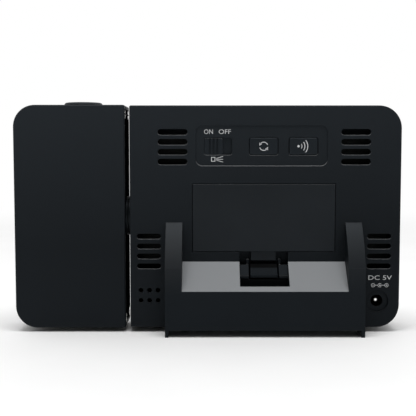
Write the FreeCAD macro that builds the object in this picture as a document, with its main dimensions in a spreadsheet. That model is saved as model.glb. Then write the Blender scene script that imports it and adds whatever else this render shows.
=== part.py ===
import FreeCAD, Part
import math
import os
from types import SimpleNamespace

import Sketcher

# Projection alarm clock standing on its foot, in millimetres.
# +X runs from the clock to the projector block, +Y points out of the rear, +Z is up, the floor is z = 0.

DIMENSIONS = {
    # Main case and projector block
    "body_length": 140.6,
    "hub_gap": 2.5,
    "block_length": 57.5,
    "case_depth": 26.0,
    "stand_depth": 13.0,
    "body_height": 115.6,
    "block_height": 116.2,
    "floor_gap": 2.5,
    "wall": 2.0,
    "body_corner": 11.8,
    "block_corner": 11.3,
    "small_corner": 0.8,
    "edge_round": 0.8,
    "play": 0.1,
    "moving_gap": 0.3,
    # Front frame, window and display
    "frame_depth": 5.0,
    "frame_skin": 1.5,
    "tongue_length": 1.4,
    "tongue_thickness": 0.8,
    "window_margin": 3.0,
    "window_thickness": 1.5,
    "aperture_length": 108.0,
    "aperture_height": 76.0,
    "lcd_length": 116.0,
    "lcd_height": 84.0,
    "lcd_thickness": 2.4,
    "lcd_strip": 6.0,
    "guide_thickness": 3.0,
    "connector_length": 100.0,
    "connector_height": 2.5,
    # Main board
    "board_gap": 0.6,
    "board_thickness": 1.6,
    "board_rise": 9.3,
    "board_drop": 5.2,
    "board_side_reach": 2.5,
    "post_inset": 5.7,
    "post_radius": 2.3,
    "post_rise": 13.0,
    "header_length": 7.0,
    "header_width": 8.0,
    "cable_radius": 1.5,
    "cable_reach": 20.0,
    "chip_size": 12.0,
    "chip_inset": 24.0,
    "capacitor_rise": 24.0,
    "chip_thickness": 1.2,
    "capacitor_radius": 3.0,
    "capacitor_length": 7.0,
    # Screws
    "screw_radius": 1.1,
    "screw_head_radius": 2.3,
    "screw_head": 1.5,
    "screw_length": 5.0,
    "slot_width": 0.6,
    "slot_depth": 0.7,
    # Service features, centred this far from the free end of the case
    "service_offset": 71.0,
    # Battery bay and door
    "door_length": 73.9,
    "door_height": 35.1,
    "door_centre_height": 57.55,
    "door_thickness": 2.0,
    "door_gap": 0.25,
    "door_ledge": 1.5,
    "bay_length": 56.0,
    "bay_height": 32.8,
    "bay_depth": 11.4,
    "bay_wall": 1.2,
    "cell_pitch": 10.9,
    "hook_width": 5.0,
    "hook_spacing": 40.0,
    "hook_reach": 1.6,
    "hook_thickness": 1.2,
    "contact_thickness": 0.5,
    "contact_size": 9.2,
    "contact_spring": 4.0,
    "contact_spring_radius": 3.4,
    "contact_tip_radius": 2.0,
    # Door catch and the pocket for a finger
    "pocket_length": 25.3,
    "pocket_depth": 10.8,
    "pocket_floor": 17.0,
    "pocket_wall": 1.5,
    "recess_depth": 6.5,
    "catch_low": 26.9,
    "catch_high": 33.4,
    "catch_lip": 4.1,
    "catch_lip_height": 1.2,
    "catch_recess_gap": 1.5,
    "shoulder_drop": 0.5,
    "shoulder_slope_height": 1.44,
    "catch_top": 3.0,
    "tab_length": 14.0,
    "tab_gap": 0.8,
    "tab_root": 3.5,
    "leg_width": 1.2,
    "leg_thickness": 1.3,
    "leg_gap": 0.45,
    "leg_height": 38.3,
    "tongue_width": 13.0,
    "tongue_drop": 4.9,
    "tongue_back": 2.1,
    "shoulder_drop": 0.5,
    "prong_height": 2.9,
    "prong_width": 1.1,
    # Control panel on the rear
    "panel_offset": 72.3,
    "panel_length": 68.2,
    "panel_height": 20.9,
    "panel_drop": 20.65,
    "panel_depth": 0.5,
    "panel_corner": 3.5,
    "control_drop": 21.0,
    "switch_offset": 94.8,
    "switch_length": 14.4,
    "switch_height": 8.9,
    "switch_corner": 1.2,
    "knob_length": 9.5,
    "knob_flange": 5.0,
    "knob_groove": 0.9,
    "knob_groove_depth": 0.7,
    "knob_groove_pitch": 1.9,
    "flip_offset": 71.25,
    "wave_offset": 50.7,
    "button_length": 15.3,
    "button_height": 9.3,
    "button_corner": 1.5,
    "button_proud": 0.3,
    "flange_width": 0.9,
    "flange_thickness": 0.9,
    "flange_drop": 0.2,
    "tact_gap": 0.7,
    "tact_size": 6.0,
    "key_board_drop": 3.5,
    "key_board_thickness": 1.2,
    "key_board_margin": 0.9,
    "key_post_radius": 1.5,
    "key_post_inset": 2.2,
    # Keys along the top
    "snooze_length": 40.0,
    "key_length": 12.0,
    "key_width": 8.0,
    "key_corner": 1.4,
    "near_key_offset": 32.0,
    "far_key_offset": 50.0,
    "top_board_length": 114.0,
    "top_board_width": 11.0,
    "top_board_drop": 5.9,
    "near_post_offset": 23.0,
    "far_post_offset": 41.0,
    # Vent slots and sound holes
    "upper_vent_length": 15.4,
    "upper_vent_height": 3.1,
    "upper_vent_pitch": 5.1,
    "upper_vent_drop": 28.96,
    "upper_vent_near": 22.3,
    "upper_vent_far": 23.6,
    "lower_vent_length": 12.5,
    "lower_vent_height": 2.75,
    "lower_vent_pitch": 5.2,
    "lower_vent_rise": 32.3,
    "lower_vent_near": 9.9,
    "lower_vent_far": 11.05,
    "vent_count": 4,
    "sound_hole_radius": 1.2,
    "sound_hole_pitch": 4.45,
    "sound_row_pitch": 5.3,
    "sound_offset": 10.05,
    "sound_height": 16.95,
    "buzzer_radius": 6.4,
    "buzzer_depth": 5.0,
    # Power inlet
    "jack_offset": 11.7,
    "jack_height": 14.0,
    "jack_recess_radius": 5.9,
    "jack_recess_depth": 1.0,
    "jack_hole_radius": 3.1,
    "jack_bore_radius": 3.0,
    "jack_bore_depth": 9.4,
    "jack_length": 9.2,
    "jack_width": 10.6,
    "pin_radius": 0.95,
    "pin_recess": 1.6,
    # Time signal antenna
    "antenna_length": 60.0,
    "antenna_radius": 3.5,
    "antenna_rise": 19.5,
    # Stand foot
    "stand_length": 101.8,
    "arm_width": 8.6,
    "arm_top": 55.2,
    "arm_low": 33.0,
    "arm_step": 0.4,
    "arm_bulge": 1.2,
    "ledge_top": 34.7,
    "ledge_low": 21.1,
    "ledge_skin": 2.8,
    "skirt_gap": 1.1,
    "skid_width": 1.8,
    "stand_wall": 2.0,
    "stand_screw_height": 47.5,
    "stand_screw_depth": 3.4,
    "foot_pad_length": 10.0,
    "foot_pad_width": 6.0,
    "foot_pad_inset": 2.0,
    "foot_pad_offset": 46.0,
    "case_screw_length": 8.0,
    "case_screw_inset": 8.5,
    "lug_length": 9.0,
    "lug_height": 7.0,
    "lug_depth": 7.5,
    # Hub between the case and the projector block
    "hub_radius": 10.3,
    "hub_split": 0.3,
    "shaft_radius": 5.5,
    "shaft_bore_radius": 3.0,
    "shaft_play": 0.05,
    "bush_wall": 1.4,
    "bush_tail": 0.9,
    "washer_thickness": 0.7,
    "washer_radius": 8.4,
    "ring_thickness": 1.1,
    "ring_radius": 7.8,
    "ring_bite": 0.8,
    "shaft_tail": 0.8,
    "nut_thickness": 2.0,
    "nut_radius": 8.0,
    "cap_thickness": 2.0,
    "cap_screw_inset": 2.6,
    "cap_boss_radius": 3.0,
    "cap_boss_length": 9.0,
    # Projector optics
    "lens_offset": 22.8,
    "focus_radius": 10.0,
    "focus_gap": 0.2,
    "focus_rise": 1.6,
    "focus_dome": 1.2,
    "focus_flange_thickness": 2.4,
    "barrel_radius": 6.5,
    "barrel_wall": 1.2,
    "barrel_length": 18.4,
    "barrel_stop": 1.3,
    "lens_depth": 1.6,
    "lens_thickness": 3.4,
    "lens_dome_radius": 9.5,
    "tube_radius": 8.3,
    "tube_bore_gap": 0.3,
    "tube_clearance": 3.8,
    "tube_length": 24.0,
    "tube_plate_drop": 8.0,
    "tube_plate_thickness": 2.0,
    "tube_plate_length": 30.0,
    "lamp_length": 22.0,
    "lamp_width": 21.6,
    "lamp_wall": 1.5,
    "image_clearance": 0.8,
    "image_thickness": 1.2,
    "image_width": 18.0,
    "condenser_rise": 14.5,
    "condenser_thickness": 4.5,
    "condenser_dome_radius": 12.0,
    "led_radius": 2.5,
    "led_height": 2.6,
    "led_board": 1.6,
    "sink_base": 2.0,
    "sink_height": 9.0,
    "sink_fin": 1.4,
    "projector_board_length": 38.0,
    "projector_board_clearance": 7.2,
    "projector_board_low": 10.0,
    "projector_board_offset": 12.0,
    "projector_board_drop": 6.0,
}

doc = FreeCAD.newDocument("projection_alarm_clock")
sheet = doc.addObject("Spreadsheet::Sheet", "Dimensions")
for row, (alias, number) in enumerate(DIMENSIONS.items(), start=1):
    sheet.set("A%d" % row, alias)
    sheet.set("B%d" % row, str(number))
    sheet.setAlias("B%d" % row, alias)
doc.recompute()


class Size:
    """A length together with the sheet formula that gives it."""

    def __init__(self, value, formula):
        self.value = value
        self.formula = formula

    def __add__(self, other):
        other = as_size(other)
        return Size(self.value + other.value, "(%s + %s)" % (self.formula, other.formula))

    def __sub__(self, other):
        other = as_size(other)
        return Size(self.value - other.value, "(%s - %s)" % (self.formula, other.formula))

    def __mul__(self, factor):
        factor = as_size(factor)
        return Size(self.value * factor.value, "(%s * %s)" % (self.formula, factor.formula))

    def __truediv__(self, factor):
        factor = as_size(factor)
        return Size(self.value / factor.value, "(%s / %s)" % (self.formula, factor.formula))

    def __neg__(self):
        return Size(-self.value, "(-1 * %s)" % self.formula)


def as_size(item):
    if isinstance(item, Size):
        return item
    return Size(float(item), repr(float(item)))


d = SimpleNamespace(**{alias: Size(number, "Dimensions." + alias) for alias, number in DIMENSIONS.items()})
nodes = []
ALONG = {
    "x": FreeCAD.Rotation(FreeCAD.Vector(0, 1, 0), 90),
    "y": FreeCAD.Rotation(FreeCAD.Vector(1, 0, 0), -90),
    "z": FreeCAD.Rotation(),
}
ACROSS = {"x": "yz", "y": "xz", "z": "xy"}
FIN_GAPS = 4


def bind(item, prop, size):
    """Tie a property to the sheet."""
    item.setExpression(prop, as_size(size).formula)


def node(label, item):
    """Name a finished sub-part."""
    item.Label = label
    nodes.append(item)
    return item


def middle(span):
    return (span[0] + span[1]) / 2


def around(centre, length):
    """Span of a length on both sides of a centre."""
    return (as_size(centre) - as_size(length) / 2, as_size(centre) + as_size(length) / 2)


# Primitive solids


def box(x, y, z):
    solid = doc.addObject("Part::Box", "box")
    for prop, axis, (low, high) in zip(("Length", "Width", "Height"), "xyz", (x, y, z)):
        bind(solid, prop, as_size(high) - low)
        bind(solid, "Placement.Base." + axis, low)
    return solid


def stand_along(solid, axis, centre, start):
    """Turn a solid that rises from its origin so that it runs along an axis from its start."""
    solid.Placement.Rotation = ALONG[axis]
    bind(solid, "Placement.Base." + axis, start)
    for side, size in zip(ACROSS[axis], centre):
        bind(solid, "Placement.Base." + side, size)
    return solid


def rod(axis, centre, radius, span):
    solid = doc.addObject("Part::Cylinder", "rod")
    bind(solid, "Radius", radius)
    bind(solid, "Height", as_size(span[1]) - span[0])
    return stand_along(solid, axis, centre, span[0])


def cone(axis, centre, radii, span):
    solid = doc.addObject("Part::Cone", "cone")
    bind(solid, "Radius1", radii[0])
    bind(solid, "Radius2", radii[1])
    bind(solid, "Height", as_size(span[1]) - span[0])
    return stand_along(solid, axis, centre, span[0])


def fuse(*solids):
    union = doc.addObject("Part::MultiFuse", "union")
    union.Shapes = list(solids)
    return union


def cut(base, *tools):
    result = doc.addObject("Part::Cut", "cut")
    result.Base = base
    result.Tool = tools[0] if len(tools) == 1 else fuse(*tools)
    return result


def group(label, solids):
    """Separate solids of one kind that share a node."""
    compound = doc.addObject("Part::Compound", label)
    compound.Links = list(solids)
    return node(label, compound)


def tube(axis, centre, outer, inner, span):
    return cut(rod(axis, centre, outer, span), rod(axis, centre, inner, span))


# Sketch outlines


def pin_point(sketch, geometry, point, x, y):
    """Hold one point of a sketch at x and y from the sketch's origin."""
    for kind, axis, size in (("DistanceX", -2, as_size(x)), ("DistanceY", -1, as_size(y))):
        if abs(size.value) < 1e-9:
            sketch.addConstraint(Sketcher.Constraint("PointOnObject", geometry, point, axis))
        else:
            number = sketch.addConstraint(Sketcher.Constraint(kind, geometry, point, size.value))
            bind(sketch, "Constraints[%d]" % number, size)


def vector(x, y):
    return FreeCAD.Vector(as_size(x).value, as_size(y).value, 0)


def polygon(*points):
    """Closed outline of straight sides; a point with a third value bulges the side that it starts."""

    def draw(sketch):
        count = len(points)
        sides = []
        for index, point in enumerate(points):
            start = vector(point[0], point[1])
            finish = vector(*points[(index + 1) % count][:2])
            if len(point) == 3:
                chord = finish - start
                outward = FreeCAD.Vector(chord.y, -chord.x, 0).normalize()
                crown = (start + finish) / 2 + outward * point[2].value
                side = Part.Arc(start, crown, finish)
            else:
                side = Part.LineSegment(start, finish)
            sides.append((sketch.addGeometry(side), len(point) == 3))
        for index, (side, curved) in enumerate(sides):
            following = sides[(index + 1) % count][0]
            sketch.addConstraint(Sketcher.Constraint("Coincident", side, 2, following, 1))
            pin_point(sketch, side, 1, points[index][0], points[index][1])
            if curved:
                radius = sketch.Geometry[side].Radius
                sketch.addConstraint(Sketcher.Constraint("Radius", side, radius))

    return draw


def rectangle(across, up):
    return polygon((across[0], up[0]), (across[1], up[0]), (across[1], up[1]), (across[0], up[1]))


def circle(centre, radius):
    def draw(sketch):
        size = as_size(radius)
        ring = sketch.addGeometry(Part.Circle(vector(*centre), FreeCAD.Vector(0, 0, 1), size.value))
        pin_point(sketch, ring, 3, *centre)
        number = sketch.addConstraint(Sketcher.Constraint("Radius", ring, size.value))
        bind(sketch, "Constraints[%d]" % number, size)

    return draw


def rounded(across, up, radii):
    """Rectangle with four corner arcs, from the low corner round by way of the far low corner."""

    def draw(sketch):
        steps = ((1, 1, 0), (-1, 1, 1), (-1, -1, 1), (1, -1, 0))
        arcs = []
        centres = []
        for index, (right, up_sign, column) in enumerate(steps):
            radius = as_size(radii[index])
            x = as_size(across[column]) + radius * right
            y = as_size(up[0 if up_sign > 0 else 1]) + radius * up_sign
            centres.append((x, y))
            start = math.pi * (1 + index / 2)
            disc = Part.Circle(vector(x, y), FreeCAD.Vector(0, 0, 1), radius.value)
            arcs.append(sketch.addGeometry(Part.ArcOfCircle(disc, start, start + math.pi / 2)))
        for index, arc in enumerate(arcs):
            following = arcs[(index + 1) % 4]
            begin = sketch.Geometry[arc].EndPoint
            finish = sketch.Geometry[following].StartPoint
            side = sketch.addGeometry(Part.LineSegment(begin, finish))
            sketch.addConstraint(Sketcher.Constraint("Tangent", arc, 2, side, 1))
            sketch.addConstraint(Sketcher.Constraint("Tangent", side, 2, following, 1))
        for index, arc in enumerate(arcs):
            radius = as_size(radii[index])
            number = sketch.addConstraint(Sketcher.Constraint("Radius", arc, radius.value))
            bind(sketch, "Constraints[%d]" % number, radius)
            pin_point(sketch, arc, 3, *centres[index])

    return draw


def slot(centre, length, height):
    """Stadium outline with round ends."""

    def draw(sketch):
        radius = height / 2
        reach = (length - height) / 2
        ends = []
        for sign, start in ((1, -math.pi / 2), (-1, math.pi / 2)):
            x = as_size(centre[0]) + reach * sign
            disc = Part.Circle(vector(x, centre[1]), FreeCAD.Vector(0, 0, 1), radius.value)
            arc = sketch.addGeometry(Part.ArcOfCircle(disc, start, start + math.pi))
            ends.append((arc, x))
        for (arc, _), (following, _) in (ends, ends[::-1]):
            begin = sketch.Geometry[arc].EndPoint
            finish = sketch.Geometry[following].StartPoint
            side = sketch.addGeometry(Part.LineSegment(begin, finish))
            sketch.addConstraint(Sketcher.Constraint("Tangent", arc, 2, side, 1))
            sketch.addConstraint(Sketcher.Constraint("Tangent", side, 2, following, 1))
        for arc, x in ends:
            number = sketch.addConstraint(Sketcher.Constraint("Radius", arc, radius.value))
            bind(sketch, "Constraints[%d]" % number, radius)
            pin_point(sketch, arc, 3, x, centre[1])

    return draw


# Features of a body

PLANES = {"xy": ("XY_Plane", 1), "xz": ("XZ_Plane", -1), "yz": ("YZ_Plane", 1)}


def new_body(label):
    return node(label, doc.addObject("PartDesign::Body", label))


def new_sketch(body, plane, height, outlines):
    """Sketch parallel to an origin plane, at a height along the row axis across it."""
    role, sign = PLANES[plane]
    sketch = body.newObject("Sketcher::SketchObject", body.Label + "_sketch")
    origin_plane = next(item for item in body.Origin.OriginFeatures if item.Role == role)
    sketch.AttachmentSupport = [(origin_plane, "")]
    sketch.MapMode = "FlatFace"
    bind(sketch, "AttachmentOffset.Base.z", as_size(height) * sign)
    for outline in outlines:
        outline(sketch)
    return sketch


def prism(body, kind, plane, span, *outlines):
    """Pad or Pocket of the outlines over a span of the row axis across their plane."""
    before = volume_of(body)
    sign = PLANES[plane][1]
    sketch = new_sketch(body, plane, span[0] if sign > 0 else span[1], outlines)
    feature = body.newObject("PartDesign::" + kind, body.Label + "_" + kind.lower())
    feature.Profile = sketch
    bind(feature, "Length", as_size(span[1]) - span[0])
    feature.Refine = False
    if kind == "Pocket":
        feature.Reversed = True
    check_change(body, feature, kind, before)
    return feature


def volume_of(body):
    """Volume of a body's newest feature."""
    return body.Tip.Shape.Volume if body.Tip else 0


def check_change(body, feature, kind, before):
    """Stop if a feature did not add or remove material as it should."""
    doc.recompute()
    grew = feature.Shape.Volume - before
    if feature.Shape.isNull() or (grew <= 0) == (kind == "Pad"):
        raise RuntimeError("%s changed %s by %.3f" % (feature.Name, body.Label, grew))


def round_edges(body, radius, chosen):
    """Fillet the edges of the newest feature whose bounding box is chosen."""
    base = body.Tip
    names = ["Edge%d" % number for number, edge in enumerate(base.Shape.Edges, 1) if chosen(edge.BoundBox)]
    fillet = body.newObject("PartDesign::Fillet", body.Label + "_fillet")
    fillet.Base = (base, names)
    bind(fillet, "Radius", radius)
    fillet.Refine = False
    doc.recompute()
    return fillet


def flat_at(axis, size):
    """Chooser of the edges that lie in one plane across an axis."""
    name = axis.upper()
    place = as_size(size).value

    def chosen(bounds):
        low = getattr(bounds, name + "Min")
        high = getattr(bounds, name + "Max")
        return abs(low - place) < 1e-4 and abs(high - place) < 1e-4

    return chosen


def repeat_up(body, feature, pitch, count):
    """Row of copies of a feature, upwards along its sketch."""
    before = volume_of(body)
    pattern = body.newObject("PartDesign::LinearPattern", body.Label + "_row")
    pattern.Originals = [feature]
    pattern.Direction = (feature.Profile[0], ["V_Axis"])
    bind(pattern, "Length", pitch * (count - 1))
    bind(pattern, "Occurrences", count)
    pattern.Refine = False
    body.Tip = pattern
    check_change(body, pattern, "Pocket", before)
    return pattern


def turned(label, axis, centre, *points):
    """Body turned about an axis; each point is a radius and a place along the axis."""
    body = new_body(label)
    sketch = new_sketch(body, "xz", 0, [polygon(*points)])
    feature = body.newObject("PartDesign::Revolution", label + "_turning")
    feature.Profile = sketch
    feature.ReferenceAxis = (sketch, ["V_Axis"])
    feature.Angle = 360
    body.Placement.Rotation = ALONG[axis]
    for side, size in zip(ACROSS[axis], centre):
        bind(body, "Placement.Base." + side, size)
    doc.recompute()
    return body


def screw(axis, centre, head, tip, flip=1):
    """Slotted screw: the outer face of its head and its tip are places along the axis."""
    under = as_size(head) - d.screw_head * flip
    ends = [(head, under), (tip, under)]
    spans = [(low, high) if as_size(low).value < as_size(high).value else (high, low) for low, high in ends]
    head_rod = rod(axis, centre, d.screw_head_radius, spans[0])
    solid = fuse(head_rod, rod(axis, centre, d.screw_radius, spans[1]))
    floor = as_size(head) - d.slot_depth * flip
    depth = (floor, as_size(head) + d.slot_depth * flip)
    if flip < 0:
        depth = depth[::-1]
    wide = around(centre[0], d.screw_head_radius * 4)
    narrow = around(centre[1], d.slot_width)
    slot_box = {"y": (wide, depth, narrow), "z": (wide, narrow, depth), "x": (depth, wide, narrow)}[axis]
    return cut(solid, box(*slot_box))


# Places shared by the sub-parts

clock_length = d.body_length + d.hub_gap + d.block_length
body_x = (-clock_length / 2, -clock_length / 2 + d.body_length)
block_x = (body_x[1] + d.hub_gap, clock_length / 2)
rear_y = (d.case_depth - d.stand_depth) / 2
front_y = rear_y - d.case_depth
foot_y = rear_y + d.stand_depth
body_z = (d.floor_gap, d.floor_gap + d.body_height)
pivot_y = (front_y + rear_y) / 2
pivot_z = middle(body_z)
block_z = around(pivot_z, d.block_height)
service_x = body_x[0] + d.service_offset
inner_rear = rear_y - d.wall
split_y = front_y + d.frame_depth
frame_inner = front_y + d.window_thickness + d.frame_skin
display_x = middle(body_x)
lcd_y = (frame_inner + d.play, frame_inner + d.play + d.lcd_thickness)
guide_y = (lcd_y[1] + d.play, lcd_y[1] + d.play + d.guide_thickness)
board_y = (guide_y[1] + d.board_gap, guide_y[1] + d.board_gap + d.board_thickness)
post_x = (body_x[0] + d.post_inset, body_x[1] - d.post_inset)
inner_top = body_z[1] - d.wall
top_board_z = (inner_top - d.top_board_drop - d.key_board_thickness, inner_top - d.top_board_drop)
board_z = (body_z[0] + d.board_rise, top_board_z[0] - d.board_drop)
post_z = (board_z[0] + d.post_rise, board_z[1] - d.post_rise)
pilot_radius = d.screw_radius + d.play / 2
drill_radius = d.screw_radius + d.play * 2


def case_outline(inset):
    """Outline of the main case, drawn in by an inset."""
    across = (body_x[0] + inset, body_x[1] - inset)
    up = (body_z[0] + inset, body_z[1] - inset)
    large = d.body_corner - inset
    return rounded(across, up, (large, d.small_corner, d.small_corner, large))


# Front frame, its window and the display behind it

frame = new_body("front_frame")
prism(frame, "Pad", "xz", (front_y, split_y), case_outline(0))
round_edges(frame, d.edge_round, flat_at("y", front_y))
prism(frame, "Pocket", "xz", (front_y, front_y + d.window_thickness), case_outline(d.window_margin))
prism(frame, "Pocket", "xz", (frame_inner, split_y), case_outline(d.wall))
tongue_inset = d.wall - d.tongue_thickness
rebate = (split_y - d.tongue_length - d.play, split_y)
prism(frame, "Pocket", "xz", rebate, case_outline(tongue_inset - d.play))
aperture = rectangle(around(display_x, d.aperture_length), around(pivot_z, d.aperture_height))
prism(frame, "Pocket", "xz", (front_y, frame_inner), aperture)
posts = [circle((x, z), d.post_radius) for x in post_x for z in post_z]
prism(frame, "Pad", "xz", (frame_inner, board_y[0]), *posts)
pilots = [circle((x, z), pilot_radius) for x in post_x for z in post_z]
prism(frame, "Pocket", "xz", (board_y[1] - d.screw_length, board_y[0]), *pilots)
case_screw_x = (service_x - d.foot_pad_offset, service_x + d.foot_pad_offset)
case_screw_y = front_y + d.case_screw_inset
lug_z = (body_z[0] + d.wall + d.play, body_z[0] + d.wall + d.lug_height)
lugs = [rectangle(around(x, d.lug_length), lug_z) for x in case_screw_x]
prism(frame, "Pad", "xz", (frame_inner, frame_inner + d.lug_depth), *lugs)
lug_pilots = [circle((x, case_screw_y), pilot_radius) for x in case_screw_x]
prism(frame, "Pocket", "xy", (lug_z[0], body_z[0] + d.case_screw_length + d.play), *lug_pilots)

window = new_body("display_window")
prism(window, "Pad", "xz", (front_y, front_y + d.window_thickness), case_outline(d.window_margin + d.play))

lcd_x = around(display_x, d.lcd_length)
lcd_z = around(pivot_z, d.lcd_height)
node("lcd_panel", box(lcd_x, lcd_y, lcd_z))
node("light_guide", box(lcd_x, guide_y, (lcd_z[0] + d.lcd_strip, lcd_z[1])))
connector_z = around(lcd_z[0] + d.lcd_strip / 2, d.connector_height)
node("lcd_connector", box(around(display_x, d.connector_length), (lcd_y[1], board_y[0]), connector_z))

# Main board, its components and the antenna

board = box((body_x[0] + d.post_inset - d.board_side_reach, body_x[1] - d.post_inset), board_y, board_z)
board_holes = [rod("y", (x, z), drill_radius, board_y) for x in post_x for z in post_z]
node("main_board", cut(board, *board_holes))
header_x = (post_x[1] - d.header_length - d.post_radius, post_x[1] - d.post_radius)
cable_y = pivot_y
header_y = (board_y[1], cable_y + d.cable_radius + d.bay_wall)
chip_x = (body_x[0] + d.chip_inset, body_x[1] - d.chip_size)
chip_y = (board_y[1], board_y[1] + d.chip_thickness)
can_y = (board_y[1], board_y[1] + d.capacitor_length)
chips = [box(header_x, header_y, around(pivot_z, d.header_width))]
chips += [box(around(chip_x[0], d.chip_size), chip_y, around(pivot_z, d.chip_size))]
chips += [rod("y", (x, pivot_z + d.capacitor_rise), d.capacitor_radius, can_y) for x in chip_x]
group("board_chips", chips)
cable_x = (header_x[1], block_x[0] + d.cable_reach / 2)
node("projector_cable", rod("x", (cable_y, pivot_z), d.cable_radius, cable_x))
antenna_y = board_y[1] + d.moving_gap + d.antenna_radius
antenna_z = body_z[0] + d.antenna_rise
antenna_x = around(service_x, d.antenna_length)
node("radio_antenna", rod("x", (antenna_y, antenna_z), d.antenna_radius, antenna_x))

# Rear cover: battery bay, catch recess, panel, vents, inlet and the hub hole

door_z = around(body_z[0] + d.door_centre_height, d.door_height)
door_x = around(service_x, d.door_length)
door_y = (rear_y - d.door_thickness, rear_y)
seat_y = door_y[0] - d.play
opening_x = (door_x[0] - d.door_gap, door_x[1] + d.door_gap)
opening_z = (door_z[0] - d.door_gap, door_z[1] + d.door_gap)
bay_x = around(service_x, d.bay_length)
bay_z = around(middle(door_z), d.bay_height)
bay_floor = seat_y - d.bay_depth
pocket_x = around(service_x, d.pocket_length)
recess_y = (rear_y - d.recess_depth, rear_y)
catch_z = (body_z[0] + d.catch_low, body_z[0] + d.catch_high)
recess_z = (catch_z[0] - d.catch_recess_gap, opening_z[0] + d.play)
panel_z = around(body_z[1] - d.panel_drop, d.panel_height)
panel_x = around(body_x[0] + d.panel_offset, d.panel_length)
panel_y = rear_y - d.panel_depth
control_z = body_z[1] - d.control_drop
switch_x = around(body_x[0] + d.switch_offset, d.switch_length)
button_centres = (body_x[0] + d.flip_offset, body_x[0] + d.wave_offset)
key_centres = {
    "snooze_bar": (service_x, d.snooze_length),
    "mode_key": (service_x - d.near_key_offset, d.key_length),
    "up_key": (service_x + d.near_key_offset, d.key_length),
    "down_key": (service_x + d.far_key_offset, d.key_length),
    "alarm_key": (service_x - d.far_key_offset, d.key_length),
}
key_y = around(pivot_y, d.key_width)
jack_x = body_x[0] + d.jack_offset
jack_z = body_z[0] + d.jack_height
sound_x = body_x[1] - d.sound_offset
sound_z = body_z[0] + d.sound_height
stand_x = around(service_x, d.stand_length)
arm_centres = (stand_x[0] + d.arm_width / 2, stand_x[1] - d.arm_width / 2)
stand_screw_z = body_z[0] + d.stand_screw_height
hub_hole = d.shaft_radius + d.bush_wall + d.play

cover = new_body("rear_cover")
prism(cover, "Pad", "xz", (split_y, rear_y), case_outline(0))
round_edges(cover, d.edge_round, flat_at("y", rear_y))
prism(cover, "Pad", "xz", (split_y - d.tongue_length, split_y), case_outline(tongue_inset))
prism(cover, "Pocket", "xz", (split_y - d.tongue_length, inner_rear), case_outline(d.wall))

ledge_x = (opening_x[0] - d.door_ledge, opening_x[1] + d.door_ledge)
ledge_z = (opening_z[0] - d.door_ledge, opening_z[1] + d.door_ledge)
prism(cover, "Pad", "xz", (inner_rear - d.wall, inner_rear), rectangle(ledge_x, ledge_z))
tray_x = (bay_x[0] - d.bay_wall, bay_x[1] + d.bay_wall)
tray_z = (bay_z[0] - d.bay_wall, bay_z[1] + d.bay_wall)
prism(cover, "Pad", "xz", (bay_floor - d.bay_wall, inner_rear), rectangle(tray_x, tray_z))
well_x = (pocket_x[0] - d.bay_wall, pocket_x[1] + d.bay_wall)
well_z = (recess_z[0] - d.bay_wall, tray_z[0] + d.bay_wall / 2)
prism(cover, "Pad", "xz", (recess_y[0] - d.bay_wall, inner_rear), rectangle(well_x, well_z))
prism(cover, "Pocket", "xz", (seat_y, rear_y), rectangle(opening_x, opening_z))
prism(cover, "Pocket", "xz", (bay_floor, rear_y), rectangle(bay_x, bay_z))
prism(cover, "Pocket", "xz", recess_y, rectangle(pocket_x, recess_z))

# Notches that let the door's hooks and tongue pass the bay's walls
hook_centres = (service_x - d.hook_spacing / 2, service_x + d.hook_spacing / 2)
hook_z = (door_z[1], door_z[1] + d.hook_reach)
hook_y = (door_y[0] - d.moving_gap - d.hook_thickness, door_y[0] - d.moving_gap)
hook_room = d.moving_gap * 2
hook_notches = [
    rectangle(around(x, d.hook_width + hook_room), (bay_z[1] - d.play, hook_z[1] + d.moving_gap))
    for x in hook_centres
]
prism(cover, "Pocket", "xz", (hook_y[0] - hook_room * 2, inner_rear), *hook_notches)
tongue_y = (rear_y - d.recess_depth + d.tongue_back, door_y[0])
tongue_notch_z = (recess_z[1] - d.play, bay_z[0] + d.play)
tongue_notch = rectangle(around(service_x, d.tongue_width + hook_room), tongue_notch_z)
prism(cover, "Pocket", "xz", (recess_y[0], inner_rear), tongue_notch)

prism(cover, "Pocket", "xz", (panel_y, rear_y), rounded(panel_x, panel_z, [d.panel_corner] * 4))
switch_hole = rounded(switch_x, around(control_z, d.switch_height), [d.switch_corner] * 4)
button_holes = [
    rounded(around(x, d.button_length), around(control_z, d.button_height), [d.button_corner] * 4)
    for x in button_centres
]
prism(cover, "Pocket", "xz", (inner_rear, rear_y), switch_hole, *button_holes)
key_holes = [rounded(around(x, length), key_y, [d.key_corner] * 4) for x, length in key_centres.values()]
prism(cover, "Pocket", "xy", (inner_top, body_z[1]), *key_holes)

through_rear = (inner_rear, rear_y)
upper_z = body_z[1] - d.upper_vent_drop
lower_z = body_z[0] + d.lower_vent_rise
for x in (body_x[1] - d.upper_vent_near, body_x[0] + d.upper_vent_far):
    opening = slot((x, upper_z), d.upper_vent_length, d.upper_vent_height)
    vent = prism(cover, "Pocket", "xz", through_rear, opening)
    repeat_up(cover, vent, d.upper_vent_pitch, d.vent_count)
for x in (body_x[1] - d.lower_vent_near, body_x[0] + d.lower_vent_far):
    opening = slot((x, lower_z), d.lower_vent_length, d.lower_vent_height)
    vent = prism(cover, "Pocket", "xz", through_rear, opening)
    repeat_up(cover, vent, d.lower_vent_pitch, d.vent_count)
sound_holes = [
    circle(
        (sound_x + d.sound_hole_pitch * column, sound_z + d.sound_row_pitch * level / 2),
        d.sound_hole_radius,
    )
    for column in (-1, 0, 1)
    for level in (-1, 1)
]
prism(cover, "Pocket", "xz", through_rear, *sound_holes)
jack_face = rear_y - d.jack_recess_depth
prism(cover, "Pocket", "xz", (jack_face, rear_y), circle((jack_x, jack_z), d.jack_recess_radius))
prism(cover, "Pocket", "xz", (inner_rear, jack_face), circle((jack_x, jack_z), d.jack_hole_radius))
stand_drills = [circle((x, stand_screw_z), drill_radius) for x in arm_centres]
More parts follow.
